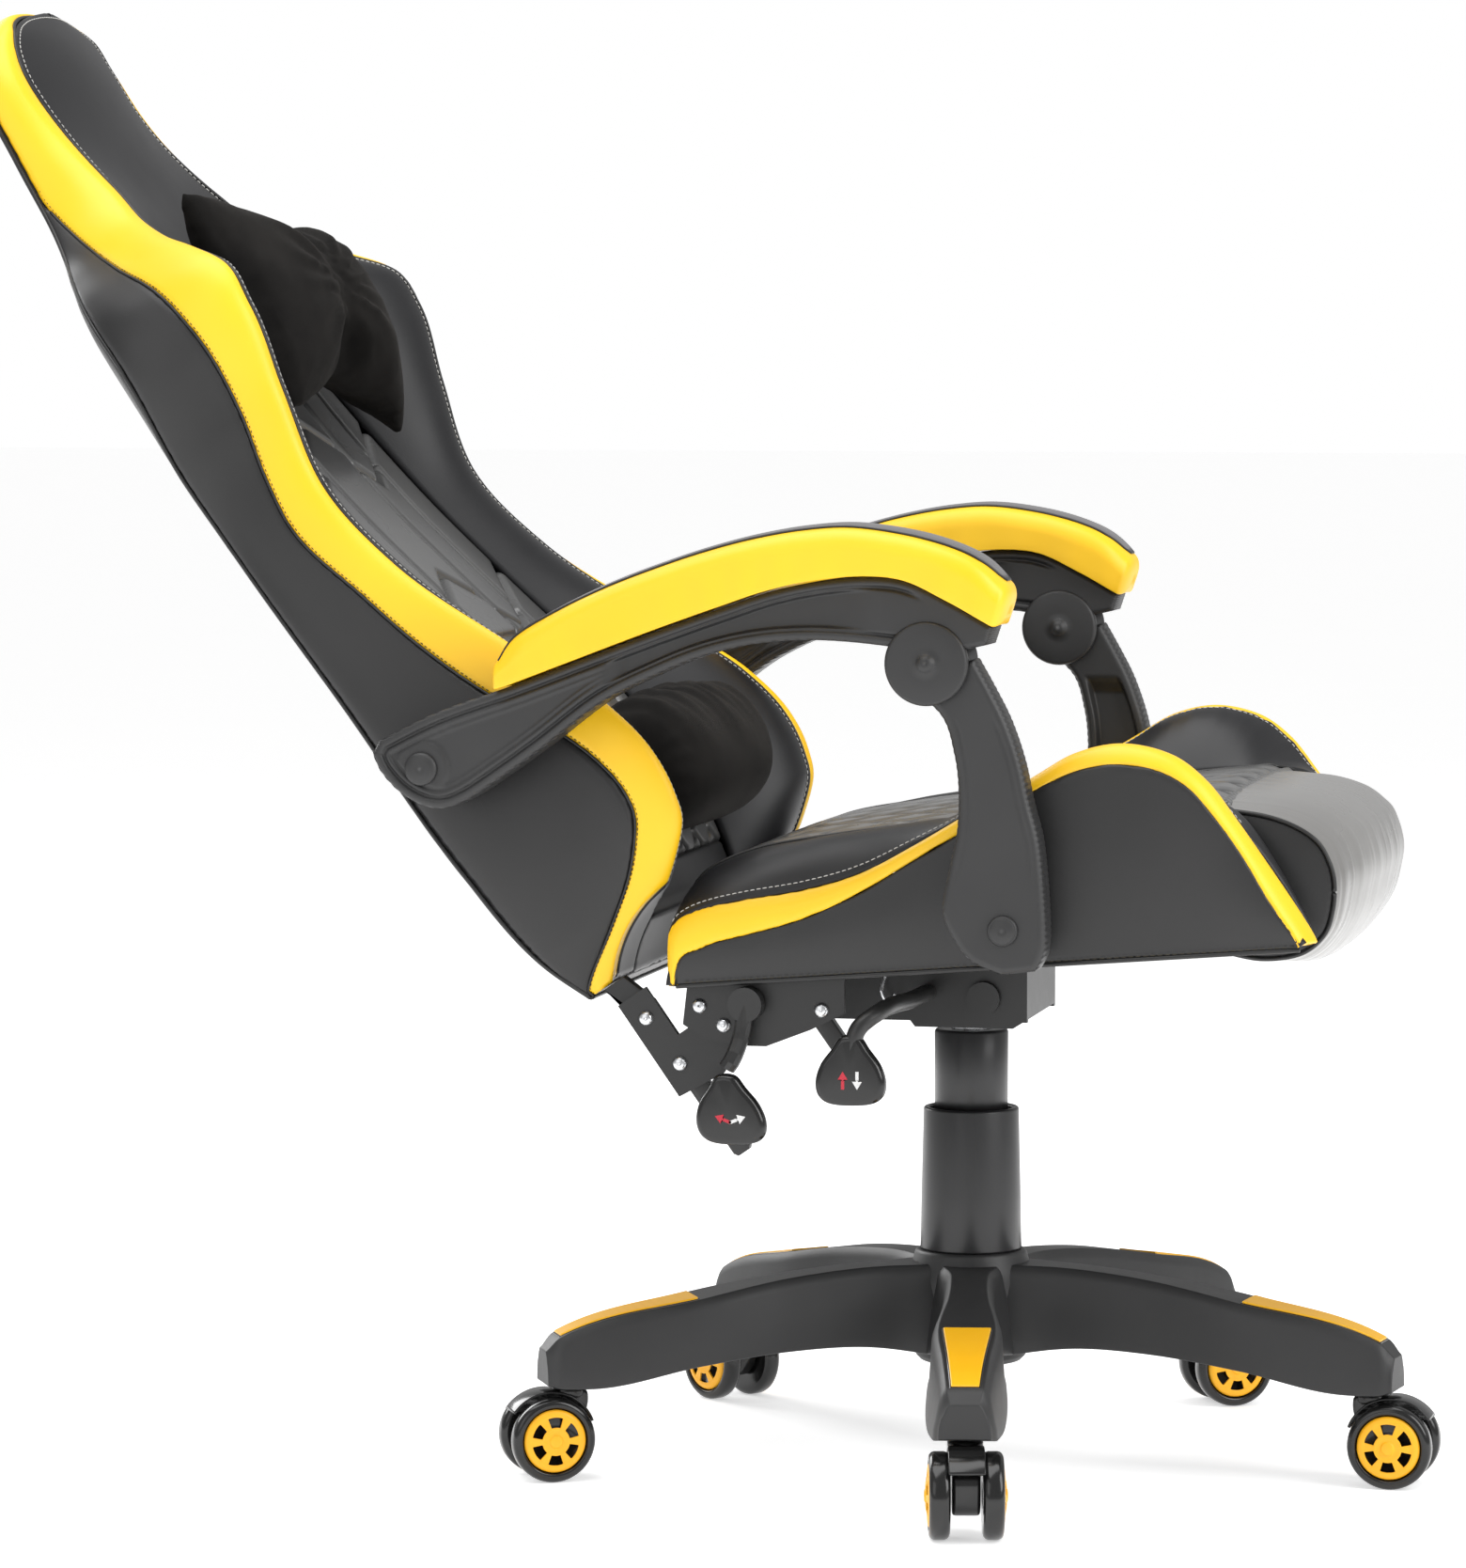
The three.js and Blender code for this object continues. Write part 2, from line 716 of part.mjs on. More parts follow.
const BACK_LEVELS = [
  BACK_FOOT, 84, 100, 118, 140, 170, 210, 255, 302, 350, 400, 440, 471, 510, 550, 590, 620, NECK,
  665, 690, 715, 745, 790, BACK_TOP - 55, BACK_TOP - 25, BACK_TOP - 8, BACK_TOP,
];
const levels = (from, to) => [from, ...BACK_LEVELS.filter((v) => v > from && v < to), to];

const sweepCylinder = () => disc([0, 0], SWEEP, -300, 300, 48);

// A slice of the back between two depths, as wide as asked at each height.
function backSlice(stations, depthNear, depthFar, half) {
  return loft(
    stations.map((v) => {
      const w = half(v);
      const near = depthNear(v);
      const far = depthFar(v);
      return [
        [near, -w],
        [near, w],
        [far - 3, w],
        [far, w - 8],
        [far, 8 - w],
        [far - 3, -w],
      ].map(([u, y]) => new THREE.Vector3(u, y, v));
    }),
  );
}

function backWing(side) {
  return cut(
    loft(
      levels(BACK_FOOT, WING_TOP).map((v) => {
        const inner = BACK_PANEL_HALF + GAP;
        const outer = backHalf(v);
        const rear = backRear(v) + REAR_BOARD + GAP;
        const tip = Math.max(wingTip(v), rear + 8);
        const panel = Math.max(rear + 5, Math.min(backPanel(Math.max(v, 100)), tip - 4));
        const reach = Math.min(26, (outer - inner) * 0.5);
        return [
          [rear, inner],
          [rear, outer - 2],
          [rear + (tip - rear) * 0.45, outer],
          [tip - Math.min(22, (tip - rear) * 0.3), outer - 2],
          [tip - 3, outer - reach * 0.35],
          [tip, outer - reach * 0.65],
          [tip - 3, outer - reach],
          [(tip + panel) / 2, (outer - reach + inner) / 2],
          [panel, inner],
        ].map(([u, y]) => new THREE.Vector3(u, side * y, v));
      }),
    ),
    sweepCylinder(),
  );
}

function headPillow() {
  const half = BACK_PANEL_HALF - 16;
  const stations = [-1, -0.86, -0.5, 0, 0.5, 0.86, 1];
  return loft(
    stations.map((t) => {
      const flare = Math.abs(t) ** 2;
      const fade = Math.abs(t) > 0.95 ? 0.55 : 1;
      const up = (66 + 20 * flare - 8 * t) * fade;
      const out = (44 - 12 * flare) * fade;
      const v = 606 - 20 * t;
      return circle([0, 0], 1, 12).map(([a, b]) => new THREE.Vector3(-48 + out * a, t * half, v + up * b));
    }),
  );
}

function lumbarPillow() {
  const half = BACK_PANEL_HALF - 6;
  const stations = [-1, -0.88, -0.5, 0, 0.5, 0.88, 1];
  return loft(
    stations.map((t) => {
      const fade = Math.abs(t) > 0.95 ? 0.6 : 1 - 0.1 * t * t;
      return circle([0, 0], 1, 14).map(
        ([a, b]) => new THREE.Vector3(26 + 56 * fade * a, t * half, 173 + 57 * fade * b),
      );
    }),
  );
}

// The back's half of a recliner: a flange beside the leg and an arm to the pin.
function backBracket(side) {
  const near = side * (LEG.near + LEG.thick + GAP);
  const far = side * (LEG.near + LEG.thick + GAP + PLATE);
  const front = LEG.front + 2;
  const outline = [
    [-80, -26],
    [-44, -30],
    [-8, -13],
    [8, -12],
    [12, 0],
    [8, 10],
    [front, 10],
    [front, 50],
    [-80, 50],
  ];
  return cut(
    join(slab(outline, near, far), disc([0, 0], 13.5, near, far, 24)),
    disc([0, 0], PIN_RADIUS + BORE_CLEARANCE, near - side * 2, far + side * 2, 20),
  );
}

function buildBack() {
  const back = new THREE.Group();
  back.position.copy(RECLINER);
  back.rotation.y = -LEAN;
  chair.add(back);
  const boardHalf = (v) => backHalf(v) - 3;
  const board = backSlice(levels(BACK_FOOT, BACK_TOP), backRear, (v) => backRear(v) + REAR_BOARD, boardHalf);
  piece(back, "back_board", cut(board, sweepCylinder()), blackVinyl);
  const inside = (v) => backRear(v) + REAR_BOARD + GAP;
  const panelHalf = (v) => Math.min(BACK_PANEL_HALF, backHalf(v) - 2) - GAP;
  const cushion = backSlice(levels(100, NECK - GAP), inside, backPanel, panelHalf);
  piece(back, "back_cushion", cut(cushion, sweepCylinder()), blackVinyl);
  piece(back, "head_cushion", backSlice(levels(NECK + GAP, BACK_TOP), inside, backPanel, panelHalf), blackVinyl);
  SIDES.forEach(([word, side]) => {
    piece(back, `back_wing_${word}`, backWing(side), yellowVinyl);
    const near = side * LEG.near;
    const far = side * (LEG.near + LEG.thick);
    const legTop = Math.sqrt(SWEEP ** 2 - LEG.front ** 2) - 6;
    const leg = [
      [LEG.front - LEG.wide, LEG.foot + 4],
      [LEG.front - LEG.wide / 2, LEG.foot],
      [LEG.front, LEG.foot + 4],
      [LEG.front, legTop],
      [LEG.front - LEG.wide, legTop - 8],
    ];
    piece(back, `back_leg_${word}`, slab(leg, near, far), blackSteel);
    piece(back, `back_bracket_${word}`, backBracket(side), blackSteel);
  });
  piece(back, "head_pillow", headPillow(), plush);
  piece(back, "lumbar_pillow", lumbarPillow(), plush);
}

// ---- armrests ----

const BEAM_TOP = [
  [-361, 534],
  [-320, 554],
  [-264, 574],
  [-209, 595],
  [-164, 612],
  [-119, 628],
  [-86, 639],
  [-53, 646],
  [-20, 649],
  [8, 646],
  [38, 632],
  [66, 616],
];
const BEAM_FOOT = [
  [62, 604],
  [40, 600],
  [10, 601],
  [-31, 605],
  [-64, 606],
  [-98, 603],
  [-132, 595],
  [-165, 582],
  [-205, 562],
  [-246, 531],
  [-274, 511],
  [-302, 493],
  [-322, 488],
  [-343, 496],
  [-359, 511],
  [-366, 525],
];
const SUPPORT_FRONT = [
  [52, 594],
  [65, 571],
  [75, 551],
  [84, 525],
  [90, 498],
  [97, 470],
  [101, 427],
  [101, 398],
  [95, 384],
];
const SUPPORT_REAR = [
  [72, 381],
  [51, 390],
  [38, 406],
  [31, 425],
  [36, 454],
  [41, 478],
  [42, 505],
  [39, 530],
  [30, 556],
  [4, 578],
];

const beamTop = smooth(BEAM_TOP, 22);

function armBeam(side) {
  const inner = ARM_MIDDLE - BEAM_WIDTH / 2;
  const outer = ARM_MIDDLE + BEAM_WIDTH / 2;
  const outline = [...beamTop, ...smooth(BEAM_FOOT, 22)];
  const slot = SUPPORT_WIDTH / 2 + 0.8;
  const caps = [
    disc(DISC_PIVOT, DISC_RADIUS, side * inner, side * (inner - 2), 32),
    disc(DISC_PIVOT, DISC_RADIUS, side * outer, side * (outer + 2), 32),
    disc(DISC_PIVOT, 5, side * (outer + 1), side * (outer + 4), 14),
  ];
  const rim = 8;
  const recess = smooth(
    [
      [-346, 529],
      [-300, 552],
      [-240, 573],
      [-196, 590],
      [-212, 571],
      [-250, 542],
      [-284, 517],
      [-318, 488 + rim * 1.6],
      [-346, 529],
    ],
    22,
  ).slice(0, -1);
  const web = smooth(
    [
      [-178, 588],
      [-130, 608],
      [-86, 624],
      [-48, 631],
      [-16, 632],
      [-12, 620],
      [-48, 614],
      [-96, 611],
      [-140, 600],
      [-178, 588],
    ],
    20,
  ).slice(0, -1);
  return cut(
    join(slab(outline, side * inner, side * outer), ...caps, disc(DISC_PIVOT, DISC_RADIUS, side * inner, side * outer, 32)),
    disc(DISC_PIVOT, DISC_RADIUS + 2.5, side * (ARM_MIDDLE - slot), side * (ARM_MIDDLE + slot), 32),
    slab(recess, side * (outer - 2), side * (outer + 2)),
    slab(web, side * (outer - 3), side * (outer + 2)),
    disc(REAR_PIVOT, BOLT_RADIUS + BORE_CLEARANCE, side * (inner - 2), side * (outer + 2), 20),
  );
}

function armPad(side) {
  const foot = beamTop.filter(([x]) => x > PAD_REAR).map(([x, z]) => [x, z + GAP]);
  const middle = [
    [78, 640],
    [58, 658],
    [37, 669],
    [8, 677],
    [-30, 682],
    [-63, 680],
    [-97, 674],
    [-131, 665],
    [-164, 654],
    [-198, 641],
    [-232, 625],
    [-270, 600],
  ];
  const half = PAD_WIDTH / 2;
  return slab([...foot, ...smooth(middle, 16)], side * ARM_MIDDLE - half, side * ARM_MIDDLE + half);
}

function armSupport(side) {
  const inner = ARM_MIDDLE - SUPPORT_WIDTH / 2;
  const outer = ARM_MIDDLE + SUPPORT_WIDTH / 2;
  const headRadius = DISC_RADIUS - LINK_CLEARANCE;
  const outline = [...smooth(SUPPORT_FRONT, 12), ...smooth(SUPPORT_REAR, 14)];
  const slot = smooth(
    [[70, 560], [80, 520], [88, 470], [92, 432], [72, 436], [52, 440], [54, 480], [56, 516], [54, 545], [70, 560]],
    16,
  ).slice(0, -1);
  return cut(
    join(slab(outline, side * inner, side * outer), disc(DISC_PIVOT, headRadius, side * inner, side * outer, 20)),
    slab(slot, side * (inner - 2), side * (inner + 10)),
    disc(SEAT_PIVOT, BOLT_RADIUS + BORE_CLEARANCE, side * (inner - 2), side * (outer + 2), 20),
  );
}

// A shouldered bolt that an armrest piece turns on: spacer, shank and head.
function pivotBolt(centre, side, from, flangeTo, headAt) {
  return join(
    disc(centre, 15, side * from, side * flangeTo, 20),
    disc(centre, BOLT_RADIUS, side * (flangeTo - 1), side * (headAt + 1), 12),
    disc(centre, 9.5, side * headAt, side * (headAt + 3), 20),
  );
}

function buildArmrests() {
  const back = ARM_MIDDLE - BEAM_WIDTH / 2;
  const seat = ARM_MIDDLE - SUPPORT_WIDTH / 2;
  SIDES.forEach(([word, side]) => {
    piece(chair, `arm_beam_${word}`, armBeam(side), blackNylon);
    piece(chair, `arm_pad_${word}`, armPad(side), yellowVinyl);
    piece(chair, `arm_support_${word}`, armSupport(side), blackNylon);
    const rear = pivotBolt(REAR_PIVOT, side, BACK_HALF + 1.5, back - GAP, back + BEAM_WIDTH + GAP);
    piece(chair, `back_bolt_${word}`, rear, blackNylon);
    const front = pivotBolt(SEAT_PIVOT, side, SEAT_WIDTH / 2 + GAP, seat - GAP, seat + SUPPORT_WIDTH + GAP);
    piece(chair, `seat_bolt_${word}`, front, blackNylon);
  });
}

buildBase();
buildLift();
buildMechanism();
buildSeat();
buildLevers();
buildBack();
buildArmrests();

// The origin is the middle of the footprint, on the floor.
const extent = new THREE.Box3().setFromObject(chair, true);
const middle = extent.getCenter(new THREE.Vector3());
chair.position.set(-middle.x, -middle.y, -extent.min.z);

export default chair;
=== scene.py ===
import json
import math

import bmesh
import bpy
import numpy as np
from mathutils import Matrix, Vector


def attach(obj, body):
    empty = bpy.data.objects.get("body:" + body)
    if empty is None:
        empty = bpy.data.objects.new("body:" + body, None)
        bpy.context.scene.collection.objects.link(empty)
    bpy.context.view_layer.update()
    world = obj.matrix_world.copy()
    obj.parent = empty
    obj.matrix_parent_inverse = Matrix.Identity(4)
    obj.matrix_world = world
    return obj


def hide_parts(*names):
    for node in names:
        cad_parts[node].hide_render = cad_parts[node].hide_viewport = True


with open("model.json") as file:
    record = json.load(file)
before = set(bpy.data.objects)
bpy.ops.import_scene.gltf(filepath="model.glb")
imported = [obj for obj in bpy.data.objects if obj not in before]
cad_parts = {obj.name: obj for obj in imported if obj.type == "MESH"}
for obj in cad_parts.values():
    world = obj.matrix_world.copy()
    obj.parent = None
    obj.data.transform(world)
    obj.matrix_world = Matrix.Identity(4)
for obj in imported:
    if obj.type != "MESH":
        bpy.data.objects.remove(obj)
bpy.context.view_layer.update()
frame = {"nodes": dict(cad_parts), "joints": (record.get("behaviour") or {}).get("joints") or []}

MM = 0.001
SIDES = (("right", -1), ("left", 1))

# ---- where things are ----

JOINTS = {joint["name"]: joint for joint in frame["joints"]}
RECLINER = np.array(JOINTS["back_recline"]["pos_m"])
COLUMN = np.array(JOINTS["seat_swivel"]["pos_m"]) * (1, 1, 0)
LEAN = math.radians(35)


def from_column(points):
    """Millimetres from the column's foot, forward, left and up, as metres in the frame."""
    return np.asarray(points, float) * MM + COLUMN


def on_back(points):
    """Millimetres out of the back's face, across it and up it, as metres in the frame."""
    out, across, up = np.moveaxis(np.asarray(points, float) * MM, -1, 0)
    forward = out * math.cos(LEAN) - up * math.sin(LEAN)
    high = out * math.sin(LEAN) + up * math.cos(LEAN)
    return np.stack([forward, across, high], -1) + RECLINER


# ---- curves ----


def through(*pairs):
    """A smooth function through (x, value) pairs, level beyond the first and the last."""
    knots, values = np.array(pairs, float).T
    slopes = np.gradient(values, knots)

    def value(x):
        x = np.clip(np.asarray(x, float), knots[0], knots[-1])
        i = np.clip(np.searchsorted(knots, x, side="right") - 1, 0, len(knots) - 2)
        span = knots[i + 1] - knots[i]
        t = (x - knots[i]) / span
        rise = t * t * (3 - 2 * t)
        bend = t * (1 - t) * span
        level = values[i] + (values[i + 1] - values[i]) * rise
        return level + bend * ((1 - t) * slopes[i] - t * slopes[i + 1])

    return value


def smooth(points, count, closed=False):
    """count + 1 places on a smooth curve through the points, at even steps of its knots."""
    knots = np.array(points, float)
    last = len(knots) if closed else len(knots) - 1
    t = np.linspace(0, last, count + 1)
    i = np.minimum(t.astype(int), last - 1)
    f = (t - i)[:, None]

    def knot(n):
        return knots[n % len(knots)] if closed else knots[np.clip(n, 0, len(knots) - 1)]

    a, b, c, d = knot(i - 1), knot(i), knot(i + 1), knot(i + 2)
    v0, v1 = (c - a) / 2, (d - b) / 2
    return (2 * b - 2 * c + v0 + v1) * f**3 + (3 * c - 3 * b - 2 * v0 - v1) * f**2 + v0 * f + b


def lengths(path):
    return np.concatenate([[0], np.cumsum(np.linalg.norm(np.diff(path, axis=0), axis=1))])


def walk(path, distances):
    """The places at given distances along a path."""
    along = lengths(path)
    return np.stack([np.interp(distances, along, path[:, n]) for n in range(path.shape[1])], 1)


def evenly(path, step):
    total = lengths(path)[-1]
    return walk(path, np.linspace(0, total, max(2, round(total / step) + 1)))


def crowded(count, ends=0.5):
    """Shares from 0 to 1 that stand closer together near both ends."""
    t = np.linspace(0, 1, count)
    return (1 - ends) * t + ends * (1 - np.cos(math.pi * t)) / 2


def unit(vectors):
    return vectors / np.maximum(np.linalg.norm(vectors, axis=-1, keepdims=True), 1e-12)


def ease(x, start, end):
    """0 before start, 1 after end, and a soft step between."""
    t = np.clip((np.asarray(x, float) - start) / (end - start), 0, 1)
    return t * t * (3 - 2 * t)


# ---- pieces ----


def new_piece(name, vertices, faces, finish, body, flat=False):
    mesh = bpy.data.meshes.new(name)
    mesh.from_pydata([tuple(place) for place in vertices], [], [tuple(face) for face in faces])
    mesh.update()
    if not flat:
        mesh.shade_smooth()
    mesh.materials.append(finish)
    piece = bpy.data.objects.new(name, mesh)
    bpy.context.scene.collection.objects.link(piece)
    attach(piece, body)
    return piece


def add_part(name, made, finish, body, replaces=(), flat=False):
    vertices, faces = made
    part = new_piece(name, from_column(vertices), faces, finish, body, flat)
    if replaces:
        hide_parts(*replaces)
    return part


def soften(piece, width, segments=3, angle=35):
    """Rounds a piece's sharp edges and keeps its flats flat."""
    bevel = piece.modifiers.new("rounded edges", "BEVEL")
    bevel.width = width * MM
    bevel.segments = segments
    bevel.limit_method = "ANGLE"
    bevel.angle_limit = math.radians(angle)
    bevel.harden_normals = True
    piece.data.shade_smooth()
    return piece


def arched(start, middle, end, t):
    """Rows that leave one line, bend towards a second and reach a third."""
    return start[:, None] * (1 - t) ** 2 + middle[:, None] * 2 * t * (1 - t) + end[:, None] * t**2


def quads(rows, columns, around=False):
    """The faces between the rows of a grid of places, closed around each row if asked."""
    faces = []
    for r in range(rows - 1):
        for c in range(columns if around else columns - 1):
            a, b = r * columns + c, r * columns + (c + 1) % columns
            faces.append((a, a + columns, b + columns, b))
    return faces


def facing(grid):
    """The way each place of a grid faces."""
    return unit(np.cross(np.gradient(grid, axis=0), np.gradient(grid, axis=1)))


def from_edges(grid, sewn):
    """How far each place of a grid is from the sewn edges, in the grid's units."""
    edges = {"first": grid[0], "last": grid[-1], "near": grid[:, 0], "far": grid[:, -1]}
    seam = np.concatenate([evenly(edges[edge], 1.5) for edge in sewn]).astype(np.float32)
    flat = grid.reshape(-1, 3).astype(np.float32)
    nearest = [
        np.sqrt(((part[:, None] - seam[None]) ** 2).sum(-1)).min(1)
        for part in np.array_split(flat, max(1, len(flat) // 4000))
    ]
    return np.concatenate(nearest).reshape(grid.shape[:2])


def padding(grid, towards, roll=4.0, backing=5.0, sewn=("first", "last", "near", "far"), relief=None):
    """A panel of foam under its cover: the sewn edges turn in, and its inside is closed."""
    if (facing(grid) * np.asarray(towards)).sum(-1).mean() < 0:
        grid = grid[:, ::-1]
        relief = None if relief is None else relief[:, ::-1]
    out = facing(grid)
    drop = np.zeros(grid.shape[:2])
    if sewn:
        share = np.clip(from_edges(grid, sewn) / roll, 0, 1)
        drop = roll * (1 - np.sqrt(1 - (1 - share) ** 2))
    if relief is not None:
        drop = drop - relief
    rows, columns = grid.shape[:2]
    outer = grid - out * drop[..., None]
    inner = grid - out * (roll + backing)
    vertices = np.concatenate([outer.reshape(-1, 3), inner.reshape(-1, 3)])
    skin = quads(rows, columns)
    faces = skin + [tuple(n + rows * columns for n in face[::-1]) for face in skin]
    rim = [r * columns for r in range(rows)]
    rim += [(rows - 1) * columns + c for c in range(1, columns)]
    rim += [r * columns + columns - 1 for r in range(rows - 2, -1, -1)]
    rim += list(range(columns - 2, 0, -1))
    for a, b in zip(rim, rim[1:] + rim[:1]):
        faces.append((a, a + rows * columns, b + rows * columns, b))
    return vertices, faces


def tube(path, radius, sides=8, flat=1.0, up=None):
    """A closed round or flattened tube along a path, with a fan on each end."""
    path = np.asarray(path, float)
    along = unit(np.gradient(path, axis=0))
    up = np.tile((0.0, 0.0, 1.0), (len(path), 1)) if up is None else np.asarray(up, float)
    side = unit(np.cross(along, up))
    up = np.cross(side, along)
    angles = np.linspace(0, 2 * math.pi, sides, endpoint=False)
    radius = np.broadcast_to(np.asarray(radius, float), (len(path),))
    rings = (
        path[:, None]
        + side[:, None] * (np.cos(angles) * radius[:, None])[..., None]
        + up[:, None] * (np.sin(angles) * radius[:, None] * flat)[..., None]
    )
    return lofted(rings)


def lofted(rings):
    """A skin over rings of places, with a fan on each end."""
    rings = np.asarray(rings, float)
    rows, columns = rings.shape[:2]
    vertices = np.concatenate([rings.reshape(-1, 3), rings[0].mean(0)[None], rings[-1].mean(0)[None]])
    faces = quads(rows, columns, around=True)
    first, last = rows * columns, rows * columns + 1
    for c in range(columns):
        b = (c + 1) % columns
        faces.append((first, c, b))
        faces.append((last, (rows - 1) * columns + b, (rows - 1) * columns + c))
    return vertices, faces


def several(parts):
    """One list of vertices and faces from many."""
    vertices, faces, count = [], [], 0
    for places, skin in parts:
        vertices.append(np.asarray(places, float))
        faces += [tuple(n + count for n in face) for face in skin]
        count += len(places)
    return np.concatenate(vertices), faces


def places_of(mesh):
    """A mesh's places as an array."""
    places = np.zeros(len(mesh.vertices) * 3, dtype=np.float32)
    mesh.vertices.foreach_get("co", places)
    return places.reshape(-1, 3).astype(float)


def taken_out(maker):
    """The places and faces of a bmesh, which is freed."""
    made = bpy.data.meshes.new("made")
    maker.to_mesh(made)
    maker.free()
    places = places_of(made)
    skin = [tuple(polygon.vertices) for polygon in made.polygons]
    bpy.data.meshes.remove(made)
    return places, skin


def outward(vertices, faces):
    """The same closed piece with its faces turned outwards."""
    maker = bmesh.new()
    corners = [maker.verts.new(tuple(place)) for place in vertices]
    for face in faces:
        if len(set(face)) > 2:
            maker.faces.new([corners[n] for n in face])
    bmesh.ops.recalc_face_normals(maker, faces=maker.faces)
    return taken_out(maker)


def thread(path, up, pitch=4.4, length=3.1, radius=0.42):
    """A row of stitches along a path, in millimetres."""
    total = lengths(path)[-1]
    starts = np.arange(pitch, total - pitch, pitch)
    shares = np.array([0, 0.15, 0.5, 0.85, 1.0])
    widths = np.array([0.35, 0.9, 1.0, 0.9, 0.35]) * radius
    lifts = np.array([-0.3, 0.1, 0.3, 0.1, -0.3]) * radius
    made = []
    for start in starts:
        reach = start + shares * length
        normal = unit(walk_values(path, up, reach))
        made.append(tube(walk(path, reach) + normal * lifts[:, None], widths, sides=6, up=normal))
    return several(made)


def walk_values(path, values, distances):
    along = lengths(path)
    return np.stack([np.interp(distances, along, values[:, n]) for n in range(values.shape[1])], 1)


# ---- finishes ----


def node(tree, kind, **inputs):
    made = tree.nodes.new(kind)
    for name, value in inputs.items():
        made.inputs[name.replace("_", " ")].default_value = value
    return made


def shader_group(name, inputs, outputs, build):
    """A shared effect: named numbers in, colours, masks or heights out."""
    group = bpy.data.node_groups.new(name, "ShaderNodeTree")
    group.interface.new_socket("Place", in_out="INPUT", socket_type="NodeSocketVector")
    for label, value in inputs:
        group.interface.new_socket(
            label, in_out="INPUT", socket_type="NodeSocketFloat"
        ).default_value = value
    for label in outputs:
        group.interface.new_socket(label, in_out="OUTPUT", socket_type="NodeSocketFloat")
    build(group, group.nodes.new("NodeGroupInput"), group.nodes.new("NodeGroupOutput"))
    return group


def calculate(tree, operation, first, second=None, third=None, clamp=False):
    made = tree.nodes.new("ShaderNodeMath")
    made.operation = operation
    made.use_clamp = clamp
    for socket, value in zip(made.inputs, (first, second, third)):
        if value is None:
            continue
        if isinstance(value, (int, float)):
            socket.default_value = value
        else:
            tree.links.new(value, socket)
    return made.outputs[0]


def speckle(tree, place, scale, detail=2.0, roughness=0.5):
    made = node(tree, "ShaderNodeTexNoise", Scale=1.0, Detail=detail, Roughness=roughness)
    stretch = tree.nodes.new("ShaderNodeVectorMath")
    stretch.operation = "SCALE"
    tree.links.new(place, stretch.inputs[0])
    if isinstance(scale, (int, float)):
        stretch.inputs["Scale"].default_value = scale
    else:
        tree.links.new(scale, stretch.inputs["Scale"])
    tree.links.new(stretch.outputs[0], made.inputs["Vector"])
    return made.outputs["Fac"]


def build_grain(group, given, result):
    """Pressed leather grain: pebbles with fine creases between them, and softer patches."""
    stretch = group.nodes.new("ShaderNodeVectorMath")
    stretch.operation = "SCALE"
    group.links.new(given.outputs["Place"], stretch.inputs[0])
    group.links.new(given.outputs["Pebbles"], stretch.inputs["Scale"])
    pebble = node(group, "ShaderNodeTexVoronoi", Scale=1.0, Randomness=0.9)
    pebble.feature = "SMOOTH_F1"
    group.links.new(stretch.outputs[0], pebble.inputs["Vector"])
    fine = speckle(group, stretch.outputs[0], 2.3, 3.0)
    broad = speckle(group, given.outputs["Place"], 9.0, 3.0)
    height = calculate(group, "SUBTRACT", 1.0, pebble.outputs["Distance"])
    height = calculate(group, "MULTIPLY", height, 0.7)
    height = calculate(group, "ADD", height, calculate(group, "MULTIPLY", fine, 0.35))
    group.links.new(height, result.inputs["Height"])
    group.links.new(broad, result.inputs["Patches"])


def build_moulding(group, given, result):
    """Moulded plastic: a fine spark-eroded texture, faint flow marks and rubbed patches."""
    fine = speckle(group, given.outputs["Place"], given.outputs["Sparks"], 3.0, 0.6)
    flow = speckle(group, given.outputs["Place"], 18.0, 2.0)
    rubbed = speckle(group, given.outputs["Place"], 45.0, 5.0, 0.65)
    group.links.new(fine, result.inputs["Height"])
    group.links.new(flow, result.inputs["Patches"])
    group.links.new(calculate(group, "SUBTRACT", rubbed, 0.45, clamp=True), result.inputs["Rubbed"])


GRAIN = shader_group("pressed grain", [("Pebbles", 900.0)], ["Height", "Patches"], build_grain)
MOULDING = shader_group(
    "moulded texture", [("Sparks", 2600.0)], ["Height", "Patches", "Rubbed"], build_moulding
)


def begin_finish(name, roughness, metallic=0.0):
    material = bpy.data.materials.new(name)
    material.use_nodes = True
    tree = material.node_tree
    shader = tree.nodes["Principled BSDF"]
    shader.inputs["Roughness"].default_value = roughness
    shader.inputs["Metallic"].default_value = metallic
    place = tree.nodes.new("ShaderNodeTexCoord").outputs["Object"]
    return material, tree, shader, place


def spread(tree, value, low, high):
    """A number from low to high as a 0 to 1 value rises."""
    made = tree.nodes.new("ShaderNodeMapRange")
    made.inputs["From Min"].default_value = 0.3
    made.inputs["From Max"].default_value = 0.7
    made.inputs["To Min"].default_value = low
    made.inputs["To Max"].default_value = high
    tree.links.new(value, made.inputs["Value"])
    return made.outputs["Result"]


def two_tone(tree, value, dark, light):
    made = tree.nodes.new("ShaderNodeMix")
    made.data_type = "RGBA"
    made.inputs["A"].default_value = (*dark, 1)
    made.inputs["B"].default_value = (*light, 1)
    tree.links.new(value, made.inputs["Factor"])
    return made.outputs["Result"]


def raise_bump(tree, shader, height, strength, depth):
    bump = tree.nodes.new("ShaderNodeBump")
    bump.inputs["Strength"].default_value = strength
    bump.inputs["Distance"].default_value = depth * MM
    tree.links.new(height, bump.inputs["Height"])
    tree.links.new(bump.outputs["Normal"], shader.inputs["Normal"])


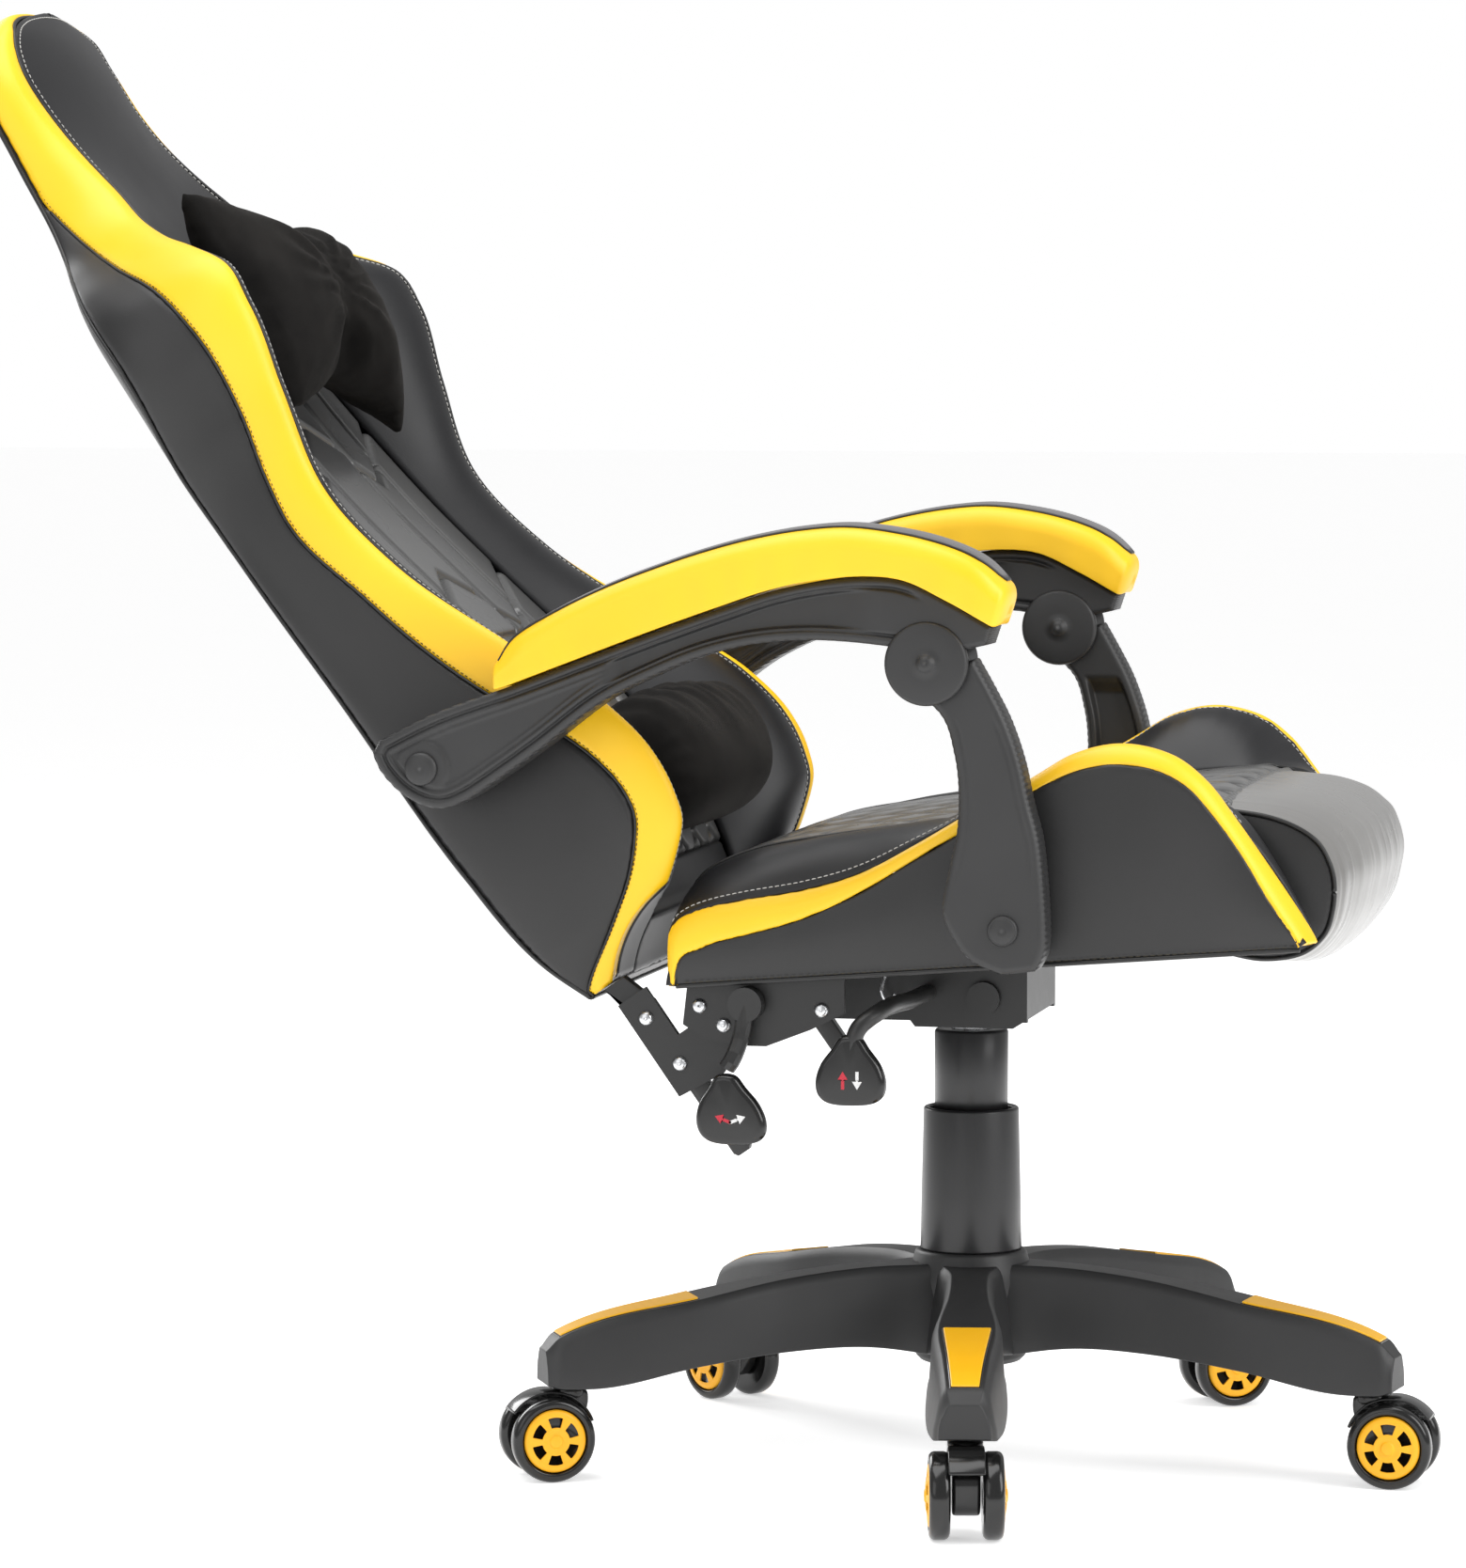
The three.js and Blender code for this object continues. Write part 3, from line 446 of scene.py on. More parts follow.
def vinyl(name, dark, light, roughness, pebbles=900.0, depth=0.12, coat=0.0, specular=0.5):
    """Coated upholstery vinyl in one colour."""
    material, tree, shader, place = begin_finish(name, roughness)
    grain = tree.nodes.new("ShaderNodeGroup")
    grain.node_tree = GRAIN
    grain.inputs["Pebbles"].default_value = pebbles
    tree.links.new(place, grain.inputs["Place"])
    patches = grain.outputs["Patches"]
    tree.links.new(two_tone(tree, spread(tree, patches, 0, 1), dark, light), shader.inputs["Base Color"])
    rough = spread(tree, patches, roughness - 0.05, roughness + 0.06)
    tree.links.new(rough, shader.inputs["Roughness"])
    raise_bump(tree, shader, grain.outputs["Height"], 0.35, depth)
    shader.inputs["Coat Weight"].default_value = coat
    shader.inputs["Specular IOR Level"].default_value = specular
    shader.inputs["Coat Roughness"].default_value = 0.35
    return material


def moulded(name, dark, light, roughness, sparks=2600.0, depth=0.06, rub=0.12):
    """Moulded plastic or powder-coated steel in one colour."""
    material, tree, shader, place = begin_finish(name, roughness)
    texture = tree.nodes.new("ShaderNodeGroup")
    texture.node_tree = MOULDING
    texture.inputs["Sparks"].default_value = sparks
    tree.links.new(place, texture.inputs["Place"])
    tree.links.new(two_tone(tree, texture.outputs["Patches"], dark, light), shader.inputs["Base Color"])
    worn = calculate(tree, "MULTIPLY", texture.outputs["Rubbed"], -rub)
    tree.links.new(calculate(tree, "ADD", worn, roughness), shader.inputs["Roughness"])
    raise_bump(tree, shader, texture.outputs["Height"], 0.3, depth)
    return material


def bright_zinc(name):
    material, tree, shader, place = begin_finish(name, 0.28, 1.0)
    passivated = speckle(tree, place, 160.0, 4.0)
    tree.links.new(
        two_tone(tree, passivated, (0.52, 0.53, 0.55), (0.78, 0.79, 0.8)), shader.inputs["Base Color"]
    )
    tree.links.new(spread(tree, passivated, 0.2, 0.36), shader.inputs["Roughness"])
    return material


def short_plush(name):
    """Short-pile plush: a soft nap with brushed patches and a light edge sheen."""
    material, tree, shader, place = begin_finish(name, 0.95)
    nap = speckle(tree, place, 1500.0, 3.0, 0.7)
    brushed = speckle(tree, place, 22.0, 3.0)
    colour = two_tone(tree, spread(tree, brushed, 0, 1), (0.0022, 0.0020, 0.0019), (0.0085, 0.0078, 0.0072))
    tree.links.new(colour, shader.inputs["Base Color"])
    pile = calculate(tree, "ADD", nap, calculate(tree, "MULTIPLY", brushed, 0.8))
    raise_bump(tree, shader, pile, 0.6, 0.6)
    shader.inputs["Sheen Weight"].default_value = 0.08
    shader.inputs["Sheen Roughness"].default_value = 0.45
    shader.inputs["Sheen Tint"].default_value = (0.5, 0.46, 0.43, 1)
    shader.inputs["Specular IOR Level"].default_value = 0.15
    return material


BLACK_VINYL = vinyl("black vinyl", (0.014, 0.014, 0.0142), (0.0205, 0.02, 0.0205), 0.4, specular=0.42)
FACE_VINYL = vinyl("black face vinyl", (0.010, 0.010, 0.0112), (0.0145, 0.0145, 0.0158), 0.4, specular=0.36)
YELLOW_VINYL = vinyl("yellow vinyl", (0.90, 0.52, 0.007), (0.93, 0.56, 0.011), 0.42, depth=0.08)
# Quilted vinyl in its own dark grey, lightened further: part of this grey is painted sheen on the glossy
# quilted blocks.
GREY_VINYL_WITH_PAINTED_SHEEN = vinyl("quilted vinyl with painted sheen", (0.05, 0.05, 0.05), (0.068, 0.068, 0.067), 0.28, coat=0.6)
# The front roll is black vinyl. This light grey colour is painted sheen: it stands in for the highlight
# that strong light puts on it.
PAINTED_SHEEN_NOSE_VINYL = vinyl("front roll vinyl with painted sheen", (0.15, 0.146, 0.14), (0.185, 0.18, 0.172), 0.28, coat=0.8)
PAD_TOP_VINYL = vinyl("armrest top vinyl", (0.09, 0.086, 0.09), (0.12, 0.114, 0.12), 0.3, coat=0.5)
PIPING = vinyl("black piping", (0.008, 0.008, 0.008), (0.014, 0.014, 0.014), 0.4)
WHITE_THREAD = moulded("pale thread", (0.42, 0.41, 0.39), (0.6, 0.59, 0.56), 0.7)
BLACK_THREAD = moulded("black thread", (0.02, 0.017, 0.01), (0.05, 0.04, 0.02), 0.7)
PLUSH = short_plush("black plush")
NYLON = moulded("black nylon", (0.0165, 0.0165, 0.017), (0.0245, 0.0245, 0.025), 0.48, depth=0.08)
GLOSS_NYLON = moulded("glossy black nylon", (0.006, 0.006, 0.006), (0.01, 0.01, 0.01), 0.18, depth=0.01)
SATIN_COVER = moulded("satin black cover", (0.014, 0.014, 0.015), (0.02, 0.02, 0.021), 0.34, depth=0.02)
AMBER_NYLON = moulded("amber nylon", (0.92, 0.41, 0.004), (0.96, 0.48, 0.007), 0.45, depth=0.05)
AMBER_INLAY = moulded(
    "amber inlay", (0.93, 0.45, 0.004), (0.98, 0.53, 0.008), 0.42, sparks=420.0, depth=0.25
)
STEEL = moulded(
    "black powder coat", (0.011, 0.011, 0.011), (0.016, 0.016, 0.016), 0.38, sparks=1400.0, depth=0.1
)
ZINC = bright_zinc("bright zinc")
BOARD_CLOTH = moulded(
    "black board cloth", (0.012, 0.012, 0.012), (0.02, 0.02, 0.02), 0.85, sparks=900.0, depth=0.25
)

# ---- camera, lights and floor ----


def look_from(azimuth, elevation, distance, target):
    a, e = math.radians(azimuth), math.radians(elevation)
    back = Vector((math.sin(a) * math.cos(e), -math.cos(a) * math.cos(e), math.sin(e)))
    camera = bpy.data.objects.new("camera", bpy.data.cameras.new("camera"))
    bpy.context.scene.collection.objects.link(camera)
    camera.location = Vector(target) + back * distance
    camera.rotation_euler = (-back).to_track_quat("-Z", "Y").to_euler()
    camera.data.sensor_width = 36
    camera.data.lens = 144.5
    bpy.context.scene.camera = camera


look_from(12.36, 4.05, 4.571, from_column((-176.4, 0, 486.7)))


def soft_light(name, place, size, power, aim):
    light = bpy.data.lights.new(name, "AREA")
    light.shape = "RECTANGLE"
    light.size, light.size_y = size
    light.energy = power
    holder = bpy.data.objects.new(name, light)
    bpy.context.scene.collection.objects.link(holder)
    holder.location = Vector(place)
    holder.rotation_euler = (Vector(aim) - holder.location).to_track_quat("-Z", "Y").to_euler()


ROOM_LIGHT = 0.5  # how bright the white room is for the object, with the wall behind it at 1


def light_studio():
    middle = (0.0, 0.0, 0.5)
    soft_light("overhead softbox", (-0.3, -0.4, 3.0), (2.6, 2.6), 66, middle)
    soft_light("front softbox", (2.6, -1.0, 1.8), (1.6, 2.2), 52, middle)
    soft_light("side softbox", (-1.2, -3.2, 1.6), (2.4, 2.0), 17, middle)
    soft_light("rear softbox", (-2.4, 1.8, 1.8), (1.6, 2.0), 60, middle)
    world = bpy.data.worlds.new("studio")
    bpy.context.scene.world = world
    world.use_nodes = True
    tree = world.node_tree
    tree.nodes["Background"].inputs["Color"].default_value = (1, 1, 1, 1)
    seen = tree.nodes.new("ShaderNodeLightPath").outputs["Is Camera Ray"]
    strength = calculate(tree, "MULTIPLY_ADD", seen, 1 - ROOM_LIGHT, ROOM_LIGHT)
    tree.links.new(strength, tree.nodes["Background"].inputs["Strength"])


def lay_floor():
    material, tree, shader, place = begin_finish("pale floor", 0.6)
    dust = speckle(tree, place, 3.0, 3.0)
    tree.links.new(
        two_tone(tree, dust, (0.94, 0.94, 0.94), (0.96, 0.96, 0.96)), shader.inputs["Base Color"]
    )
    shader.inputs["Emission Color"].default_value = (1, 1, 1, 1)
    shader.inputs["Emission Strength"].default_value = 0.5
    shader.inputs["Specular IOR Level"].default_value = 0.2
    mesh = bpy.data.meshes.new("floor")
    half = 40.0
    mesh.from_pydata(
        [(-half, -half, 0), (half, -half, 0), (half, half, 0), (-half, half, 0)], [], [(0, 1, 2, 3)]
    )
    mesh.materials.append(material)
    floor = bpy.data.objects.new("floor", mesh)
    bpy.context.scene.collection.objects.link(floor)


def match_film():
    """Plain display colours, so that each finish shows at its own brightness."""
    bpy.context.scene.view_settings.view_transform = "Standard"
    bpy.context.scene.view_settings.look = "None"


match_film()
light_studio()
lay_floor()

# ---- the reclining back ----

# Below QUILT_FOOT the back's front is a dark panel that paints the seat's shadow. The grey quilted panel
# starts at QUILT_FOOT.
BACK_FOOT, QUILT_FOOT, NECK, BACK_CROWN = 66, 126, 700, 908
SEAT_CLEARANCE = 101  # the back's skin stays this far from the recliner's axis
EDGE = 6  # how far a rear corner stands in front of the rear cover
SHOULDER = 12  # and how much further it stands at the shoulders

wing_front = through(
    (66, -84), (72, -60), (89, -30), (103, -4), (116, 14), (130, 29), (150, 37), (180, 41), (226, 33),
    (302, -2), (394, -38), (471, -50), (540, -33), (600, -16), (634, -16), (654, -30), (676, -49),
    (703, -65), (740, -75), (761, -80), (803, -87), (842, -88), (867, -85), (884, -81),
)
band_rear = through(
    (66, -98), (72, -92), (96, -54), (118, -21), (135, -3), (149, 8), (171, 13), (195, 10), (227, -1),
    (277, -28), (325, -48), (385, -66), (459, -83), (493, -78), (542, -64), (605, -57), (645, -66),
    (681, -88), (721, -109), (753, -119), (789, -121), (819, -118), (860, -110), (908, -98),
)
back_rear = through(
    (66, -101), (96, -111), (186, -121), (322, -126), (451, -133), (700, -131), (800, -127), (870, -119),
    (908, -108)
)
panel_front = through(
    (100, -42), (150, -32), (220, -32), (300, -44), (380, -62), (460, -78), (560, -90), (700, -94),
    (800, -86), (870, -80), (905, -84),
)
seam_inset = through((66, 14), (600, 17), (660, 20), (745, 24), (850, 23), (882, 17), (900, 9), (908, 6))
quilt_half = through((66, 148), (560, 148), (640, 132), (700, 112))


def corner_step(up):
    """How far the rear corners stand in front of the rear cover at a height."""
    return EDGE + SHOULDER * np.exp(-(((np.asarray(up, float) - 612) / 62) ** 2))


def clear_of_seat(out, up):
    """Keeps a place on the back clear of the seat as the back reclines."""
    limit = -np.sqrt(np.clip(SEAT_CLEARANCE**2 - np.asarray(up, float) ** 2, 0, None))
    return np.where(np.asarray(up) < SEAT_CLEARANCE, np.minimum(out, limit), out)


def back_outline():
    """One side of the back's outline, foot to crown, with the way in from each place."""
    knots = [
        (216, 66), (230, 110), (239, 170), (239, 250), (231, 350), (222, 471), (231, 540), (243, 600),
        (238, 636), (219, 665), (194, 690), (168, 715), (150, 745), (141, 790), (135, 850), (118, 880),
        (92, 897), (62, 905), (30, 908), (0, 908.5), (-30, 908),
    ]
    line = smooth(knots, 800)[:-40]
    total = lengths(line)[-1]
    steps = np.concatenate(
        [np.arange(0, 80, 2.5), np.arange(80, total - 60, 5), np.linspace(total - 60, total, 30)]
    )
    line = walk(line, steps)
    line[-1, 0] = 0.0
    along = unit(np.gradient(line, axis=0))
    inward = np.stack([-along[:, 1], along[:, 0]], 1)
    inward[-1] = (0, -1)
    return line, inward


LINE, INWARD = back_outline()
SEAM = LINE + INWARD * seam_inset(LINE[:, 1])[:, None]
SEAM[-1, 0] = 0.0
SEAM_OUT = clear_of_seat(wing_front(SEAM[:, 1]), SEAM[:, 1])
BAND_OUT = np.maximum(
    clear_of_seat(band_rear(LINE[:, 1]), LINE[:, 1] + 4),
    back_rear(LINE[:, 1]) + corner_step(LINE[:, 1]) + 3
)


def seam_half(up):
    return np.interp(up, SEAM[:, 1], SEAM[:, 0])


def face_front(across, up):
    """How far out the back's front stands at a place, before its quilting."""
    across, up = np.abs(across), np.asarray(up, float)
    outer = np.maximum(seam_half(np.minimum(up, SEAM[-1, 1])), 1.0)
    inner = np.minimum(quilt_half(up), outer - 1)
    share = np.clip((across - inner) / (outer - inner), 0, 1)
    middle, edge = panel_front(up), wing_front(up)
    wing = middle + (edge - middle) * (1 - (1 - share) ** 1.8) + 4 * np.sin(math.pi * share)
    crown = 10 * np.clip(1 - (across / outer) ** 2, 0, 1)
    head = edge + (middle - edge) * (1 - np.clip(across / outer, 0, 1) ** 2) + crown
    high = ease(up, 630, 730)
    return clear_of_seat(wing + (head - wing) * high, up)


def sag(across_share, up):
    """How far the cross seam at the neck, and the rows near it, hang towards the middle."""
    return 42 * np.exp(-(((up - 742) / 70) ** 2)) * (1 - across_share**2)


def front_grid(ups, shares, low, high):
    """Places on the back's front between two half widths, with a share of -1 or 1 on the outer one."""
    rows = []
    for up in ups:
        share = np.asarray(shares)
        across = low(up) + (high(up) - low(up)) * share
        total = max(seam_half(min(up, SEAM[-1, 1])), 1.0)
        level = up - sag(across / total, up)
        rows.append(np.stack([face_front(across, level), across, level], 1))
    return np.array(rows)


def groove(distance, width=2.2):
    """A sewn line's depth, 1 on the line and nothing far from it."""
    return np.exp(-((distance / width) ** 2))


def back_quilting(across, up):
    """Depth of the sewn channels: long blocks with pointed ends above, crossed diamonds below."""
    side = np.abs(across)
    upper = ease(up, 326, 334)
    rails = np.minimum(np.abs(side - 46), np.abs(side - 102))
    point = np.where(side < 46, up + side * 0.6, up - np.abs(side - 74) * 0.7 + 60)
    ends = np.abs((point - 395) % 150 - 75) * 0.85
    blocks = np.minimum(rails, 75 * 0.85 - ends)
    first = (up / 56 + across / 50) % 1
    second = (up / 56 - across / 50) % 1
    crossed = np.minimum(0.5 - np.abs(first - 0.5), 0.5 - np.abs(second - 0.5)) * 40
    border = np.abs(up - 330)
    reach = np.minimum(upper * blocks + (1 - upper) * crossed, border)
    crown = 1 - (1 - np.clip(reach / 8, 0, 1)) ** 2.6
    return (7.0 * (1 - crown) + 2.4 * groove(reach, 1.9)) * (0.25 + 0.75 * ease(up, 90, 190))


def back_panel(name, grid, towards, finish, **how):
    """A padded panel that reclines with the back."""
    vertices, faces = padding(grid, towards, **how)
    piece = new_piece(name, on_back(vertices), faces, finish, "back")
    return piece


def mirror(path, side):
    """A path on the left, or its mirror image on the right when side is -1."""
    return path * (1, side, 1)


def build_back_covers():
    line, up = LINE, LINE[:, 1]
    corner = np.stack([back_rear(up) + corner_step(up), line[:, 0], up], 1)
    band_start = np.stack([BAND_OUT, line[:, 0], up], 1)
    seam = np.stack([SEAM_OUT, SEAM[:, 0], SEAM[:, 1]], 1)
    bulge = np.stack([np.zeros(len(up)), *(-INWARD.T)], 1)
    for word, side in SIDES:
        lower = up < 760
        t = crowded(13)
        flank = corner[lower][:, None] * (1 - t[:, None]) + band_start[lower][:, None] * t[:, None]
        room = np.linalg.norm(band_start - corner, axis=1)[lower][:, None, None]
        belly = np.sin(math.pi * t ** 0.62)[:, None]
        flank = flank + bulge[lower][:, None] * (belly * np.minimum(6.5, room * 0.09))
        panel = back_panel(
            f"back_side_{word}", mirror(flank, side), (0, side, 0), BLACK_VINYL, roll=2.0, backing=5,
            sewn=("near", "far", "first")
        )
        if word == "right":
            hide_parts("back_board")
    stand = 15 - 11.5 * ease(up, 300, 420)
    crest = np.stack([np.maximum(SEAM_OUT, BAND_OUT) + stand, line[:, 0] + 1, up], 1)
    middle = (band_start + seam) / 2
    control = middle + (crest - middle) * 0.95
    t = crowded(17, 0.6)[:, None]
    band = arched(band_start, control, seam, t)
    band[..., 0] = clear_of_seat(band[..., 0], band[..., 2])
    whole = np.concatenate([mirror(band, -1), mirror(band, 1)[-2::-1]])
    away = unit(whole + (80, 0, 0) - whole * (0, 0, 0.9))
    back_panel("back_band", whole, away, YELLOW_VINYL, roll=2.2, backing=4, sewn=("near", "far"))
    return seam, band_start, corner


def build_back_front():
    shares = crowded(141, 0.12) * 2 - 1
    zero = lambda up: 0.0
    foot = front_grid(
        np.linspace(BACK_FOOT, QUILT_FOOT, 34), shares[::3], zero, lambda up: float(quilt_half(up))
    )
    # Painted shadow: below the quilting, the back's front is a dark face-vinyl panel that stands in for the
    # shade the seat casts there.
    back_panel("back_lower_panel_painted_shadow", foot, (1, 0, 0), FACE_VINYL, roll=3.0, backing=4)
    grid = front_grid(np.linspace(QUILT_FOOT, NECK, 270), shares, zero, lambda up: float(quilt_half(up)))
    relief = -back_quilting(grid[..., 1], grid[..., 2])
    panel = back_panel(
        "back_quilted_panel", grid, (1, 0, 0), GREY_VINYL_WITH_PAINTED_SHEEN, roll=4.5, backing=4, relief=relief
    )
    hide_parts("back_cushion")
    wing_ups = np.concatenate([np.linspace(BACK_FOOT, 110, 20), np.linspace(114, NECK, 110)])
    for word, side in SIDES:
        grid = front_grid(
            wing_ups, crowded(33), lambda up: float(quilt_half(up)), lambda up: float(seam_half(up))
        )
        panel = back_panel(
            f"back_wing_face_{word}", mirror(grid, side), (1, 0, 0), FACE_VINYL, roll=4.0, backing=4
        )
        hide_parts(f"back_wing_{word}")
    head_ups = SEAM[:-1, 1][SEAM[:-1, 1] > NECK + 3]
    head_ups = np.concatenate([[NECK], head_ups])
    grid = front_grid(head_ups, crowded(61) * 2 - 1, zero, lambda up: float(seam_half(up)))
    panel = back_panel("headrest_face", grid, (1, 0, 0), FACE_VINYL, roll=5.0, backing=4)
    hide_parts("head_cushion")


def build_back_rear():
    t = np.sin(np.linspace(-1, 1, 61) * math.pi / 2)
    rows = []
    for half, up in LINE[:-1]:
        edge = np.minimum(1, np.abs(t) ** 5 + np.clip(1 - (BACK_CROWN + 0.6 - up) / 22, 0, 1) ** 2)
        hollow = 3 * (1 - t**2) * ease(up, BACK_FOOT, 200)
        out = back_rear(up) + corner_step(up) * (1 - np.sqrt(1 - edge)) - hollow
        rows.append(np.stack([out, t * half, np.full_like(t, up)], 1))
    back_panel("back_rear_cover", np.array(rows), (-1, 0, 0), BLACK_VINYL, roll=1.5, backing=3)
    across = np.linspace(-215, 215, 40)
    under = []
    for share in np.linspace(0, 1, 6):
        out = (back_rear(BACK_FOOT) + EDGE) * (1 - share) + (face_front(across, BACK_FOOT) - 1) * share
        out = np.broadcast_to(out, across.shape)
        under.append(np.stack([out, across, np.full_like(across, BACK_FOOT + 0.5)], 1))
    back_panel("back_foot_strip", np.array(under), (0, 0, -1), BLACK_VINYL, roll=0.8, backing=3)


def both_sides(path):
    """A path up the right side and down the left, from its left half."""
    return np.concatenate([mirror(path, -1), mirror(path, 1)[-2::-1]])


def build_back_trim(seam, band_start, corner):
    inward = np.stack([np.zeros(len(INWARD)), *INWARD.T], 1)
    lines = [tube(both_sides(seam + inward * 0.3), 1.5), tube(both_sides(corner), 1.7)]
    rear = np.full(60, float(back_rear(BACK_FOOT)) + EDGE)
    foot = np.stack([rear, np.linspace(-214, 214, 60), np.full(60, BACK_FOOT)], 1)
    lines.append(tube(foot, 1.7))
    lines += [tube(mirror(band_start[LINE[:, 1] < 755], side), 0.9) for _, side in SIDES]
    vertices, faces = several(lines)
    new_piece("back_piping", on_back(vertices), faces, PIPING, "back")
    inner = SEAM + INWARD * 5.5
    face = np.stack([face_front(inner[:, 0], inner[:, 1]) + 0.2, inner[:, 0], inner[:, 1]], 1)
    kept = inner[:, 1] > 100
    run = both_sides(face[kept])
    front = np.tile((1.0, 0.0, 0.0), (len(run), 1))
    vertices, faces = thread(run, front)
    new_piece("back_front_stitching", on_back(vertices), faces, WHITE_THREAD, "back")
    rows = []
    for _, side in SIDES:
        inset = (2.6 / np.linalg.norm(seam - band_start, axis=1))[:, None]
        path = mirror(band_start + (seam - band_start) * inset, side)
        path = path + np.array((0, side * 0.9, 0))
        outwards = np.tile((0.0, side, 0.0), (len(path), 1))
        rows.append(thread(path, outwards, pitch=3.6, length=2.2, radius=0.38))
    vertices, faces = several(rows)
    new_piece("back_band_stitching", on_back(vertices), faces, BLACK_THREAD, "back")


def build_back():
    seam, band_start, corner = build_back_covers()
    build_back_front()
    build_back_rear()
    build_back_trim(seam, band_start, corner)


build_back()

# ---- the seat ----

# A bolster's three long seams, knot by knot from the rear to the front: forward, left and up.
BAND_CREST = [
    (-170, 363), (-171, 390), (-169, 403), (-160, 412), (-142, 419), (-114, 425), (-75, 432), (-36, 444),
    (2, 464), (41, 487), (81, 508), (112, 527), (146, 534.5), (180, 527), (204, 509), (222, 486),
    (243, 457), (262, 430), (275, 410), (279, 402),
]
BAND_FOOT = [
    (-164, 364), (-162, 379), (-157, 386), (-147, 390), (-135, 395), (-112, 401), (-75, 412), (-36, 430),
    (2, 453), (42, 477), (82, 501), (112, 516), (140, 522), (168, 519), (190, 508.5), (207, 491),
    (228, 463), (248, 430), (262, 410), (268, 400),
]
INNER_SEAM = [
    (-170, 366), (-171, 395), (-170, 416), (-164, 431), (-149, 443), (-118, 455), (-75, 463), (-36, 469),
    (2, 474), (40, 477), (76, 481), (105, 484), (135, 488), (160, 491), (180, 493), (196, 494), (212, 487),
    (228, 462), (242, 434), (248, 416),
]
PANEL_EDGE, ROLL_EDGE, SEAT_HALF, SEAT_EDGE = 169, 189, 240, 245
SEAT_STATIONS = 190


def seat_foot(x):
    """The height of the seat's lower edge."""
    return 362 + 0.079 * (np.asarray(x, float) + 170)


def seat_seam(knots, half):
    """A long seam of the near bolster, with its distance from the middle of the seat."""
    line = smooth(knots, SEAT_STATIONS)
    return np.stack([line[:, 0], half(line[:, 0]) * np.ones(len(line)), line[:, 1]], 1)


def between(first, last, shares, swell=None):
    """Rows from one seam to another."""
    grid = first[:, None] * (1 - shares[:, None]) + last[:, None] * shares[:, None]
    return grid if swell is None else grid + swell


def seat_panel(name, grid, towards, finish, **how):
    """A padded panel that stays with the seat."""
    vertices, faces = padding(grid, towards, **how)
    panel = new_piece(name, from_column(vertices), faces, finish, "seat")
    return panel


def bolster_seams():
    """The left bolster's crest, the foot of its band and its seam with the quilted panel."""
    crest = seat_seam(BAND_CREST, lambda x: 238 - 12 * ease(x, 20, 90))
    foot = seat_seam(BAND_FOOT, lambda x: SEAT_EDGE + 0 * x)
    inner = seat_seam(INNER_SEAM, lambda x: PANEL_EDGE + (ROLL_EDGE - PANEL_EDGE) * ease(x, 196, 214))
    return crest, foot, inner


def bolster_top(crest, inner):
    """The bolster's black inner face, which rolls over its crest and falls to the quilted panel."""
    shares = crowded(41, 0.7)
    grid = between(crest, inner, shares)
    fall = inner[:, 2] - crest[:, 2]
    bend = np.where(fall[:, None] > 0, 1 - (1 - shares) ** 2.6, shares**1.9)
    grid[..., 2] = crest[:, None, 2] + fall[:, None] * bend
    rise = np.sin(math.pi * np.clip(shares * 1.25, 0, 1)) ** 0.8
    rear, front = ease(crest[:, :1], -150, -60), ease(crest[:, :1], 10, 80)
    grid[..., 2] += rise * 6 * rear * (1 - front)
    return grid


def bolster_creases(grid):
    """Short gathers that the crest seam pulls into the curve of the bolster."""
    along = lengths(grid[:, 0])[:, None]
    near = np.exp(-np.linalg.norm(grid - grid[:, :1], axis=-1) / 16)
    tight = ease(grid[:, :1, 0], 95, 125) * (1 - ease(grid[:, :1, 0], 195, 225))
    return 0.4 * near * tight * (np.sin(along / 3.1) + 0.6 * np.sin(along / 1.9 + 1.0))


def build_bolsters():
    crest, foot, inner = bolster_seams()
    for word, side in SIDES:
        top = bolster_top(crest, inner)
        panel = seat_panel(f"bolster_face_{word}", mirror(top, side), (0, 0, 1), FACE_VINYL, roll=3.5,
                           relief=bolster_creases(top))
        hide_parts(f"seat_bolster_{word}")
        t = crowded(15, 0.5)[:, None]
        front = ease(crest[:, :1], 20, 90) * (1 - ease(crest[:, :1], 215, 262))
        middle = (crest + foot) / 2 + (0, 6.5, 3.0) + front * np.array((0, -1.5, 7.0))
        band = arched(crest, middle, foot, t)
        seat_panel(
            f"bolster_band_{word}", mirror(band, side), (0, side, 0.4), YELLOW_VINYL, roll=2.0, backing=4
        )
        low = np.minimum(seat_foot(foot[:, 0]) + 1, foot[:, 2] - 0.6)
        hem = np.stack([foot[:, 0], SEAT_HALF + 0 * foot[:, 0], low], 1)
        flank = between(foot, hem, crowded(25, 0.5))
        reach = np.linalg.norm(hem - foot, axis=1)[:, None]
        flank[..., 1] += np.sin(math.pi * crowded(25, 0.5)) * np.minimum(3.5, reach * 0.05)
        seat_panel(
            f"bolster_side_{word}", mirror(flank, side), (0, side, 0), BLACK_VINYL, roll=2.2, backing=4
        )


def diamonds(along, across, length, width, depth=3.2):
    """Quilting in crossed diamonds: sewn lines with crowned puffs between them."""
    first = np.abs((along / length + across / width) % 1 - 0.5)
    second = np.abs((along / length - across / width) % 1 - 0.5)
    reach = min(length, width) * 0.72
    first, second = (0.5 - first) * reach, (0.5 - second) * reach
    puff = np.clip(np.minimum(first, second) / (reach * 0.25), 0, 1)
    return depth * (np.sqrt(puff) - 0.6) - 1.2 * np.maximum(groove(first, 1.3), groove(second, 1.3))


